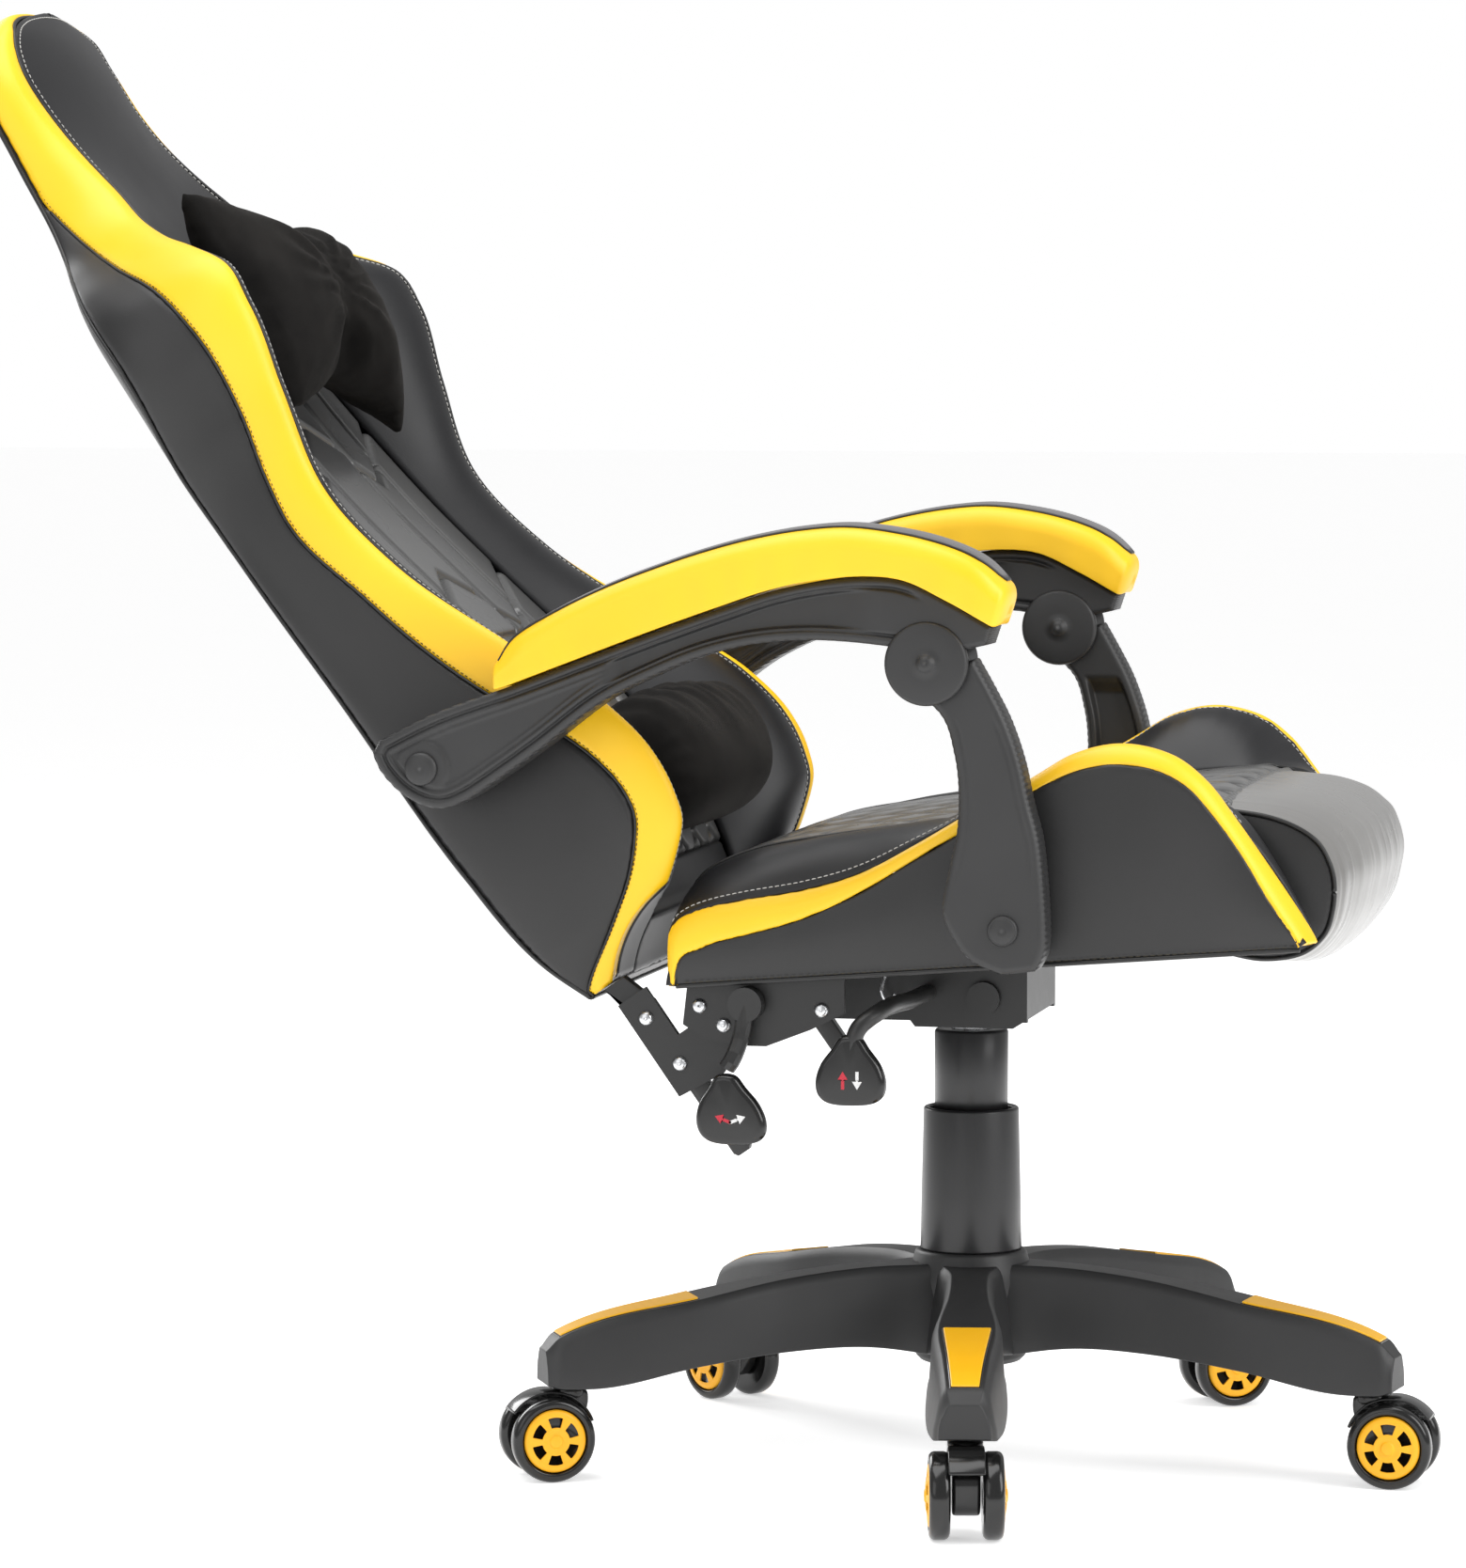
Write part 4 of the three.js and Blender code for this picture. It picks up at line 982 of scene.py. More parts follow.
def build_seat_panel():
    _, _, inner = bolster_seams()
    line = inner[inner[:, 0] <= 205.5]
    line = np.concatenate([evenly(line[:, (0, 2)], 2.2), [(206.0, 494.5)]])
    across = np.linspace(-PANEL_EDGE, PANEL_EDGE, 190)
    grid = np.zeros((len(line), len(across), 3))
    grid[..., 0], grid[..., 1], grid[..., 2] = line[:, None, 0], across, line[:, None, 1]
    grid[..., 2] += 3.5 * (1 - (across / PANEL_EDGE) ** 2) * ease(line[:, :1], -160, -80)
    relief = diamonds(lengths(line)[:, None], across, 62.0, 56.3)
    from_sides, from_roll = PANEL_EDGE - np.abs(across), lengths(line)[-1] - lengths(line)
    border = np.clip(from_sides / 6, 0, 1) * np.clip(from_roll / 8, 0, 1)[:, None]
    panel = seat_panel(
        "seat_quilted_panel", grid, (0, 0, 1), GREY_VINYL_WITH_PAINTED_SHEEN, roll=3.5, backing=4, relief=relief * border
    )
    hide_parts("seat_cushion")


ROLL_MIDDLE = [
    (206, 496), (234, 495), (254, 493), (274, 487), (287, 478), (296, 468), (302, 446), (300, 428),
    (294, 408), (279, 386), (261, 376), (235, 382), (206, 389),
]
ROLL_SIDE = [
    (207, 488), (237, 484), (258, 477), (273, 467), (281, 454), (285, 439), (284, 420), (278, 403),
    (262, 390), (235, 386), (207, 391)
]


def outline_of(knots, count):
    line = smooth(knots, 400)
    return walk(line, np.linspace(0, lengths(line)[-1], count))


def gathers(along, across, seed):
    """Soft vertical folds of uneven width, deeper where the seams hold them."""
    rng = np.random.default_rng(seed)
    folds = np.zeros(np.broadcast_shapes(along.shape, across.shape))
    for width in (34.0, 21.0, 13.0, 9.0, 6.5):
        phase, drift = rng.uniform(0, 6.28), rng.uniform(-0.12, 0.12)
        folds += np.sin(across / width * 6.28 + phase + drift * along / 6) * width / 34
    return folds


def build_front_roll():
    middle, edge = outline_of(ROLL_MIDDLE, 110), outline_of(ROLL_SIDE, 110)
    across = np.sin(np.linspace(-1, 1, 181) * math.pi / 2) * 188
    bend = (np.abs(across) / 188)[:, None, None] ** 3.2
    outline = middle * (1 - bend) + edge * bend
    wide = np.broadcast_to(across[:, None, None], outline[..., :1].shape)
    grid = np.concatenate([outline[..., :1], wide, outline[..., 1:]], 2)
    along = lengths(middle)[None]
    nose = ease(along, 75, 125) * (1 - ease(along, 190, 235))
    seam = 0.3 * np.exp(-along / 12) + np.exp(-(188 - np.abs(across))[:, None] / 20) * 0.35
    relief = (nose * 0.6 + seam) * gathers(along, across[:, None], 5) * 0.75
    # Painted sheen: the roll's light grey stands in for the highlight on black vinyl.
    panel = seat_panel("front_roll", grid, (1, 0, 0.3), PAINTED_SHEEN_NOSE_VINYL, roll=4.0, backing=6, relief=relief)
    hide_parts("front_cushion")
    for word, side in SIDES:
        rear = np.stack([np.full(110, 207.0), np.linspace(488, 391, 110)], 1)
        shares = crowded(21, 0.4)
        cap = edge[:, None] * (1 - shares[:, None]) + rear[:, None] * shares[:, None]
        ends = np.sin(math.pi * np.linspace(0, 1, 110))[:, None]
        depth = ROLL_EDGE + 3.5 * np.sin(math.pi * shares) * ends
        grid = np.stack([cap[..., 0], side * depth, cap[..., 1]], 2)
        seat_panel(f"front_roll_side_{word}", grid, (0, side, 0), BLACK_VINYL, roll=3.0, backing=4)


def along_rows(rows, reach, distance):
    """The value of each row at a distance along it."""
    return np.array([
        [np.interp(distance, reach[n], row[:, axis]) for axis in range(3)]
        for n, row in enumerate(rows)
    ])


def build_seat_trim():
    crest, foot, inner = bolster_seams()
    top = bolster_top(crest, inner)
    lines, pale = [], []
    for _, side in SIDES:
        lines.append(tube(mirror(inner + (0, 0, 0.4), side), 1.3))
        line = np.stack([foot[:, 0], SEAT_HALF + 0 * foot[:, 0], seat_foot(foot[:, 0]) + 1], 1)
        line = mirror(line, side)
        lines.append(tube(line, 1.6))
        edge = outline_of(ROLL_SIDE, 110)
        lines.append(tube(np.stack([edge[:, 0], np.full(110, side * 189.0), edge[:, 1]], 1), 1.6))
        reach = np.linalg.norm(top - top[:, :1], axis=-1)
        run = along_rows(top, reach, 6.5)
        normal = facing(top)
        normal *= np.sign(normal[..., 2].mean())
        up = along_rows(normal, reach, 6.5)
        kept = slice(18, int(np.argmax(run[:, 0] > 228)))
        pale.append(thread(mirror(run + up * 0.1, side)[kept], mirror(up, side)[kept]))
    vertices, faces = several(lines)
    new_piece("seat_piping", from_column(vertices), faces, PIPING, "seat")
    hems = []
    for _, side in SIDES:
        x = foot[8:-3, 0]
        line = evenly(np.stack([x, side * (SEAT_HALF + 2.6 + 0 * x), seat_foot(x) + 3.4], 1), 3)
        outwards = np.tile((0.0, side, 0.0), (len(line), 1))
        hems.append(thread(line, outwards, pitch=5.0, length=3.6, radius=0.3))
    add_part("seat_stitching", several(pale), WHITE_THREAD, "seat")
    add_part("seat_hem_stitching", several(hems), BLACK_THREAD, "seat")


def build_seat():
    build_bolsters()
    build_seat_panel()
    build_front_roll()
    build_seat_trim()


build_seat()

# ---- armrest pads ----

ARM_MIDDLE = 274
PAD_HALF, STRIP_HALF = 32.5, 20.5
PAD_BASE = [
    (-276, 571), (-264, 575), (-209, 596), (-164, 613), (-119, 629), (-86, 640), (-53, 647), (-20, 650),
    (8, 647), (38, 633), (64, 618),
]
PAD_CROWN = [
    (-276, 590), (-264, 606), (-232, 625), (-198, 641), (-164, 654), (-131, 665), (-97, 674), (-63, 680),
    (-30, 682), (8, 677), (37, 669), (58, 659), (73, 645),
]


PAD_FORWARD = np.array((0.8, 0, -0.6))


def pad_section(thickness, half):
    """Half of a pad's section, from the middle of its foot round its side to the middle of its top."""
    corner = min(11.0, thickness * 0.42)
    return smooth([
        (0, 0.4), (half * 0.6, 0.2), (half - 2.2, 0), (half - 0.5, 2.2), (half, thickness * 0.4),
        (half - 0.2, thickness - corner), (half - 3.2, thickness - corner * 0.38),
        (half - 8.5, thickness - 0.6), (half * 0.4, thickness + 1.6), (0, thickness + 2.0),
    ], 44)


def pad_rings():
    """Whole sections of a pad along its length, in millimetres about the armrest's middle plane."""
    base, crown = outline_of(PAD_BASE, 120), outline_of(PAD_CROWN, 120)
    stations = np.linspace(0, 1, 120)
    nose = np.clip((stations - 0.86) / 0.14, 0, 1) ** 2.2
    half = PAD_HALF * (0.88 + 0.12 * ease(stations, 0, 0.08)) * (1 - 0.16 * nose)
    rings = []
    for low, high, reach in zip(base, crown, half):
        rise = high - low
        thickness = np.linalg.norm(rise)
        section = pad_section(thickness, reach)
        place = low + section[:, 1:] * rise / thickness
        side = np.stack([place[:, 0], section[:, 0], place[:, 1]], 1)
        rings.append(np.concatenate([side, (side * (1, -1, 1))[-2:0:-1]]))
    return np.array(rings)


def domed(rings, forward, reach, steps=9):
    """Rings that close a pad's end in a soft dome."""
    last = rings[-1]
    centre = last.mean(0)
    made = []
    for turn in np.linspace(0, math.pi / 2, steps + 1)[1:]:
        narrower = (last - centre) * math.cos(turn) ** 0.55
        made.append(centre + narrower + forward * reach * math.sin(turn))
    return np.array(made)


def build_arm_pad(word, side):
    owner = f"armrest_{word}"
    rings = pad_rings()
    front = domed(rings, PAD_FORWARD, 8)
    rear = domed(rings[::-1], np.array((-0.9, 0, -0.35)), 5)[::-1]
    body = np.concatenate([rear, rings, front])
    along = lengths(body.mean(1))[:, None]
    down = np.clip((body[..., 2].max(1, keepdims=True) - body[..., 2]) / 26, 0, 1)
    pulls = np.sin(along / 5.3 + 2 * np.sin(along / 31)) * 0.35 * down**2
    body[..., 1] -= np.sign(body[..., 1]) * pulls
    middle = np.array((0, side * ARM_MIDDLE, 0))
    cover = outward(*lofted(body + middle))
    panel = add_part(f"arm_pad_{word}_cover", cover, YELLOW_VINYL, owner, (f"arm_pad_{word}",))
    count = rings.shape[1]
    shares = np.linspace(-1, 1, 41)
    along = np.linspace(0, 1, len(rings))
    reach = STRIP_HALF * np.interp(along, (0, 0.84, 0.94, 0.985, 1), (1, 1, 0.88, 0.6, 0.35))
    strip = []
    for ring, across in zip(rings, reach):
        half_ring = ring[: count // 2 + 1]
        upper = half_ring[np.argsort(half_ring[:, 1])]
        upper = upper[upper[:, 2] > (half_ring[0, 2] + half_ring[-1, 2]) / 2 - 2]
        y = np.abs(shares) * across
        x = np.interp(y, upper[:, 1], upper[:, 0])
        z = np.interp(y, upper[:, 1], upper[:, 2])
        strip.append(np.stack([x, shares * across, z + 1.5], 1))
    strip = np.array(strip)
    made = padding(strip + middle, (0, 0, 1), roll=1.3, backing=1.6)
    panel = add_part(f"arm_pad_{word}_strip", made, PAD_TOP_VINYL, owner)
    edge = np.concatenate([strip[:, 0], strip[-1, 1:-1], strip[::-1, -1]]) - (0, 0, 0.9)
    add_part(f"arm_pad_{word}_seams", tube(edge + middle, 0.9), PIPING, owner)


for word, side in SIDES:
    build_arm_pad(word, side)

# ---- pillows ----


def smooth_mesh(name, vertices, faces):
    mesh = bpy.data.meshes.new(name)
    mesh.from_pydata([tuple(place) for place in vertices], [], [tuple(face) for face in faces])
    mesh.update()
    mesh.shade_smooth()
    return mesh


def baked(piece):
    """The piece's mesh with its modifiers in it."""
    graph = bpy.context.evaluated_depsgraph_get()
    mesh = bpy.data.meshes.new_from_object(piece.evaluated_get(graph), depsgraph=graph)
    piece.modifiers.clear()
    return mesh


def filled(vertices, faces, voxel, pressure, cap):
    """A sewn cover filled as cloth under pressure, with no point moved past the cap."""
    piece = bpy.data.objects.new("cover", smooth_mesh("cover", *outward(vertices, faces)))
    bpy.context.scene.collection.objects.link(piece)
    weave = piece.modifiers.new("even weave", "REMESH")
    weave.mode, weave.voxel_size = "VOXEL", voxel * MM
    piece.data = baked(piece)
    before = places_of(piece.data)
    after = before
    cloth = piece.modifiers.new("filling", "CLOTH")
    cloth.settings.quality = 6
    cloth.settings.mass = 0.2
    cloth.settings.use_pressure = True
    cloth.settings.uniform_pressure_force = pressure
    cloth.settings.tension_stiffness = cloth.settings.compression_stiffness = 12
    cloth.settings.bending_stiffness = 0.3
    cloth.settings.effector_weights.gravity = 0
    for frame_number in range(1, 21):
        bpy.context.scene.frame_set(frame_number)
    after = places_of(baked(piece))
    bpy.context.scene.frame_set(1)
    moved = after - before
    far = np.linalg.norm(moved, axis=1, keepdims=True)
    places = before + moved * np.minimum(1, cap * MM / np.maximum(far, 1e-9))
    skin = [tuple(polygon.vertices) for polygon in piece.data.polygons]
    bpy.data.objects.remove(piece)
    return places, skin


def off_back(places):
    """Metres in the frame as millimetres out of the back's face, across it and up it."""
    forward, across, high = np.moveaxis(places - RECLINER, -1, 0)
    out = forward * math.cos(LEAN) + high * math.sin(LEAN)
    up = high * math.cos(LEAN) - forward * math.sin(LEAN)
    return np.stack([out, across, up], -1) / MM


def pillow_rings(stations, section):
    """A pillow's rings along its length, in the frame."""
    return [on_back(section(station)) for station in stations]


HEAD_HALF_WIDTH, HEAD_MIDDLE = 124, 612
LUMBAR_HALF_WIDTH, LUMBAR_MIDDLE = 143, 184


def head_section(t):
    """One ring of the bow-tie head pillow, from its near end at -1 to its far end at 1."""
    angles = np.linspace(0, 2 * math.pi, 48, endpoint=False)
    top = np.interp(t, (-1, -0.5, 0, 0.4, 1), (716, 702, 683, 682, 652))
    foot = np.interp(t, (-1, -0.5, 0, 0.5, 1), (535, 541, 552, 532, 511))
    rear = np.interp(t, (-1, 0, 1), (-60, -76, -60))
    swell = np.interp(t, (-1, -0.6, -0.2, 0.1, 0.5, 1), (30, 38, 50, 58, 58, 40))
    thick = 12 + swell * (1 - abs(t) ** 2.6) ** 0.6
    lens = np.abs(np.sin(angles)) ** 0.85 * np.sign(np.sin(angles))
    arch = np.sign(np.cos(angles)) * np.abs(np.cos(angles)) ** 0.9
    up = (top + foot) / 2 + (top - foot) / 2 * arch
    out = rear + thick / 2 + lens * thick / 2
    out = out + 12 * ((up - 620) / 90) * (1 if t < 0 else 0.6)
    return np.stack([out, np.full(48, t * HEAD_HALF_WIDTH), up], 1)


def pinch_head_pillow(places):
    """Draws the pillow in at its waist and folds its cover there."""
    out, across, up = np.moveaxis(off_back(places), -1, 0)
    waist = np.exp(-((across / 15) ** 2))
    front = ease(out, -58, -20)
    out = out - (3 + 13 * (1 - ease(up, 545, 615))) * waist * front
    up = HEAD_MIDDLE + (up - HEAD_MIDDLE) * (1 - 0.07 * np.exp(-((across / 24) ** 2)))
    reach = np.abs(across)
    angle = np.arctan2(up - HEAD_MIDDLE, reach + 6)
    folds = np.sin(angle * 17 + 0.6 * np.sin(reach / 19)) * np.exp(-((reach - 26) / 26) ** 2)
    folds += 0.7 * np.sin(angle * 29 + 1.7) * np.exp(-((reach - 18) / 14) ** 2)
    out = out + 2.2 * folds * front
    out = out + 1.2 * np.sin(up / 13 + across / 31) * ease(reach, 60, 110) * front
    return on_back(np.stack([out, across, up], -1))


def lumbar_section(t):
    """One ring of the barrel-shaped lumbar pillow, from -1 to 1 along it."""
    angles = np.linspace(0, 2 * math.pi, 56, endpoint=False)
    fade = 0.34 + 0.66 * (1 - abs(t) ** 5) ** 0.5
    rear = -36 + 4 * np.abs(np.sin(angles))
    out = np.maximum(8 + 45 * fade * np.cos(angles), rear)
    up = LUMBAR_MIDDLE + 55 * fade * np.sin(angles) * (1 + 0.05 * np.cos(2 * angles))
    return np.stack([out, np.full(56, t * LUMBAR_HALF_WIDTH), up], 1)


def gather_lumbar(places):
    """Gathers that run round the pillow from the seam on its top, and pulls at its ends."""
    out, across, up = np.moveaxis(off_back(places), -1, 0)
    angle = np.arctan2(up - LUMBAR_MIDDLE, out - 10)
    near_seam = np.exp(-(((angle - 1.05) / 0.75) ** 2))
    pulls = np.sin(across / 3.6 + 1.4 * np.sin(across / 23) + 0.5 * np.sin(angle * 3)) * 0.8
    pulls += np.sin(across / 8.9 + 0.8 + 0.8 * np.sin(angle * 2.2)) * 1.4
    deep = near_seam * pulls * 1.3 - 3.4 * np.exp(-(((angle - 1.05) / 0.05) ** 2))
    ripple = np.sin(across / 17.0 + 1.1 * np.sin(angle * 1.7) + 0.6)
    deep += 1.5 * ripple * np.exp(-(((angle - 0.3) / 0.9) ** 2))
    deep += ease(np.abs(across), 112, 142) * 1.3 * np.sin(angle * 14)
    away = np.stack([np.cos(angle), np.zeros_like(angle), np.sin(angle)], -1)
    moved = np.stack([out, across, up], -1) + away * deep[..., None]
    return on_back(moved)


def finish_pillow(name, places, skin, node_name):
    """A plush pillow from its shaped cover."""
    pillow = new_piece(name, places, skin, PLUSH, "back")
    finer = pillow.modifiers.new("smooth cover", "SUBSURF")
    finer.levels = finer.render_levels = 1
    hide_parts(node_name)
    return pillow


def build_pillows():
    stations = np.sin(np.linspace(-1, 1, 41) * math.pi / 2)
    head = lofted(pillow_rings(stations, head_section))
    places, skin = filled(*head, voxel=5, pressure=4, cap=7)
    finish_pillow("head_pillow_cover", pinch_head_pillow(places), skin, "head_pillow")
    lumbar = lofted(pillow_rings(stations, lumbar_section))
    places, skin = filled(*lumbar, voxel=5, pressure=4, cap=6)
    finish_pillow("lumbar_pillow_cover", gather_lumbar(places), skin, "lumbar_pillow")


build_pillows()

# ---- turned and moulded parts ----


def turned(profile, place, segments=96):
    """A turned part, from (radius, height) pairs between places on its axis or round a wall."""
    rings = []
    angles = np.linspace(0, 2 * math.pi, segments, endpoint=False)
    for radius, height in profile:
        ring = np.stack(
            [radius * np.cos(angles), radius * np.sin(angles), np.full(segments, float(height))], 1
        )
        rings.append(ring)
    if profile[0][0] == 0:
        vertices, faces = lofted(rings)
    else:
        vertices, faces = np.concatenate(rings), quads(len(rings) + 1, segments, around=True)
        faces = [tuple(n % len(vertices) for n in face) for face in faces]
    return outward(place(vertices), faces)


def plate(outline, low, high, edge, place, steps=5):
    """A flat part with rolled edges, from an outline and the depths of its two faces."""
    line = np.asarray(outline, float)
    if (line[:, 0] * np.roll(line[:, 1], -1) - line[:, 1] * np.roll(line[:, 0], -1)).sum() < 0:
        line = line[::-1]
    along = unit(np.roll(line, -1, 0) - np.roll(line, 1, 0))
    inward = np.stack([-along[:, 1], along[:, 0]], 1)
    rings = []
    turns = np.linspace(0, math.pi / 2, steps)
    for turn in turns:
        rings.append((line + inward * edge * (1 - math.sin(turn)), low + edge * (1 - math.cos(turn))))
    for turn in turns[::-1]:
        rings.append((line + inward * edge * (1 - math.sin(turn)), high - edge * (1 - math.cos(turn))))
    rings = [np.stack([ring[:, 0], ring[:, 1], np.full(len(ring), depth)], 1) for ring, depth in rings]
    vertices, faces = lofted(rings)
    return outward(place(vertices), faces)


def side_on(vertices):
    """Outline places in forward, up and across order, put in forward, across and up order."""
    return np.asarray(vertices)[:, (0, 2, 1)]


def closed_outline(knots, count):
    return smooth(knots, count, closed=True)[:-1]


HUB_TOP, HUB_FOOT = 153, 72
arm_top = through((30, 145), (90, 143), (140, 138), (209, 126), (308, 102.5), (319, 97))
arm_foot = through((30, 80), (90, 87), (140, 86), (209, 79), (283, 66), (319, 66))
arm_skirt = through((30, 21), (140, 22), (209, 28), (270, 27), (319, 21))
arm_ridge = through((30, 13), (140, 14), (209, 20), (270, 16), (319, 12))
ARM_BEARINGS = [
    math.atan2(*(np.array(JOINTS[f"caster_swivel_{k}"]["pos_m"]) - COLUMN)[1::-1]) for k in range(1, 6)
]


def turned_to(bearing):
    """Turns places about the column, from forward to a bearing."""
    c, s = math.cos(bearing), math.sin(bearing)
    return np.array(((c, s, 0), (-s, c, 0), (0, 0, 1)))


def star_arm():
    """One arm of the base: a ridged channel that flares into the hub and ends in a blunt nose."""
    rings = []
    for reach in np.concatenate([np.linspace(30, 300, 60), np.linspace(303, 319, 8)]):
        flare = 13 * math.exp(-((reach - 30) / 26) ** 2)
        nose = 5 * ease(reach, 306, 319) ** 2
        top, foot = float(arm_top(reach)) - nose, float(arm_foot(reach)) + nose * 0.4
        skirt = float(arm_skirt(reach)) + flare - nose * 0.6
        ridge = float(arm_ridge(reach)) + flare * 0.5 - nose * 0.4
        corners = [
            (-skirt, foot), (skirt, foot), (skirt - 0.6, foot + 8), (skirt - 2, foot + 14),
            (ridge + 4.5, top - 8), (ridge + 2.6, top - 3.4), (ridge, top), (-ridge, top),
            (-ridge - 2.6, top - 3.4), (-ridge - 4.5, top - 8), (2 - skirt, foot + 14),
            (0.6 - skirt, foot + 8),
        ]
        rings.append([(reach, across, up) for across, up in corners])
    return rings


def upright(vertices):
    """Places turned about the column, as they are."""
    return vertices


def build_base():
    arms = []
    for bearing in ARM_BEARINGS:
        arms.append(outward(*lofted(np.array(star_arm()) @ turned_to(bearing))))
    hub = [
        (26, HUB_FOOT), (36, HUB_FOOT), (40, 76), (42, 90), (45, 125), (45, 133), (43.5, 140), (41.5, 147),
        (40, 151.5), (38.5, HUB_TOP), (26, HUB_TOP), (26, HUB_FOOT + 1),
    ]
    made = several([*arms, turned(hub, upright)])
    star = add_part("base_star", made, NYLON, "base", ("star_base",))
    soften(star, 1.4, 3, 24)


INSERT_INNER, INSERT_OUTER = 209, 308
INSERT_HALF_INNER, INSERT_HALF_OUTER = 16.5, 9.5


def build_inserts():
    """Amber inlays with a fine pressed lattice, each in a dark rebate on top of an arm."""
    for k, bearing in enumerate(ARM_BEARINGS, 1):
        for name, grow, proud, finish in (
            ("inlay", 0.0, 1.5, AMBER_INLAY), ("rebate", 1.1, 0.35, GLOSS_NYLON)
        ):
            reach = np.linspace(INSERT_INNER - grow, INSERT_OUTER + grow, 40)
            taper = (INSERT_HALF_OUTER - INSERT_HALF_INNER) * (reach - INSERT_INNER)
            half = INSERT_HALF_INNER + taper / (INSERT_OUTER - INSERT_INNER) + grow
            rings = []
            for r, w in zip(reach, half):
                top = float(arm_top(r)) + proud
                section = [
                    (-w, top - 3), (w, top - 3), (w, top - 0.5), (w - 0.5, top), (0.5 - w, top),
                    (-w, top - 0.5)
                ]
                rings.append([(r, across, up) for across, up in section])
            made = outward(*lofted(np.array(rings) @ turned_to(bearing)))
            replaces = (f"base_insert_{k}",) if name == "inlay" else ()
            add_part(f"base_{name}_{k}", made, finish, "base", replaces, flat=True)


COVER_TOP = 312.7


def build_column():
    """The two telescopic covers round the gas column."""
    lower = [
        (33, HUB_TOP + 0.3), (36.2, HUB_TOP + 0.3), (36.6, HUB_TOP + 1.5), (35.9, HUB_TOP + 40),
        (34.4, HUB_TOP + 101.2), (34.2, HUB_TOP + 102.2), (33.4, HUB_TOP + 103), (30.9, HUB_TOP + 103),
        (30.5, HUB_TOP + 101), (33, HUB_TOP + 1),
    ]
    add_part(
        "column_cover_lower", turned(lower, upright, 128), SATIN_COVER, "base",
        ("cover_lower",)
    )
    cap = COVER_TOP
    upper = [
        (25.3, cap - 96), (26.5, cap - 96), (26.5, cap - 30), (26.6, cap - 2), (25.6, cap - 0.4), (24, cap),
        (14.4, cap), (14.4, cap - 3), (25.3, cap - 3),
    ]
    add_part(
        "column_cover_upper", turned(upper, upright, 128), SATIN_COVER, "lift",
        ("cover_upper",)
    )


WHEEL_RADIUS = 30
AXLE_TRAIL, WHEEL_GAP = 16, 11
HOOD_INNER, HOOD_OUTER = 31.4, 33.6
SPOKE_CELLS, WINDOW_RINGS = 16, range(7, 10)
TYRE = [
    (0, 0.4), (9, 0.4), (10, 0), (25.5, 0), (27.6, 0.5), (29.3, 1.9), (30, 4), (30.0, 7.2), (30, 10.4),
    (29.4, 12.4), (28, 13.9), (26, 14.5), (24.3, 14.4), (23.6, 13.9), (23.3, 12.6), (22.9, 10.6), (0, 10.6),
]


def rim_cap():
    """A domed cap with six windows between its spokes."""
    radii = [0.4, 2.5, 4.2, 5.0, 6.6, 8.4, 9.4, 10.2, 12.4, 14.8, 17.0, 17.8, 19.0, 20.6, 21.8, 22.6]
    heights = [
        17.5, 17.4, 17.2, 16.2, 15.9, 16.3, 16.4, 16.1, 15.8, 15.4, 15.0, 15.2, 15.1, 14.7, 13.9, 12.4
    ]
    cells = 96
    maker = bmesh.new()
    angles = np.linspace(0, 2 * math.pi, cells, endpoint=False)
    rings = [[(r * math.cos(a), r * math.sin(a), h) for a in angles] for r, h in zip(radii, heights)]
    rows = [[maker.verts.new(place) for place in ring] for ring in rings]
    maker.faces.new(rows[0])
    for r in range(len(radii) - 1):
        for c in range(cells):
            window = r in WINDOW_RINGS and 3 <= c % SPOKE_CELLS <= 12
            if not window:
                d = (c + 1) % cells
                maker.faces.new((rows[r][c], rows[r + 1][c], rows[r + 1][d], rows[r][d]))
    bmesh.ops.recalc_face_normals(maker, faces=maker.faces)
    bmesh.ops.solidify(maker, geom=maker.faces[:], thickness=1.6)
    bmesh.ops.recalc_face_normals(maker, faces=maker.faces)
    places, skin = taken_out(maker)
    return places, sorted(skin)


CHEEK = [
    (-9, 64), (11, 64), (22, 57), (29, 46), (31, 36), (28, 24), (18, 16.5), (6, 18), (-3, 28), (-9, 42),
    (-12.5, 56),
]


COLLAR = [
    (0, 58), (11, 58), (12.4, 60), (12.4, 63.4), (11.4, 65.4), (5.3, 65.6), (5.3, 91), (4.4, 92), (0, 92),
]


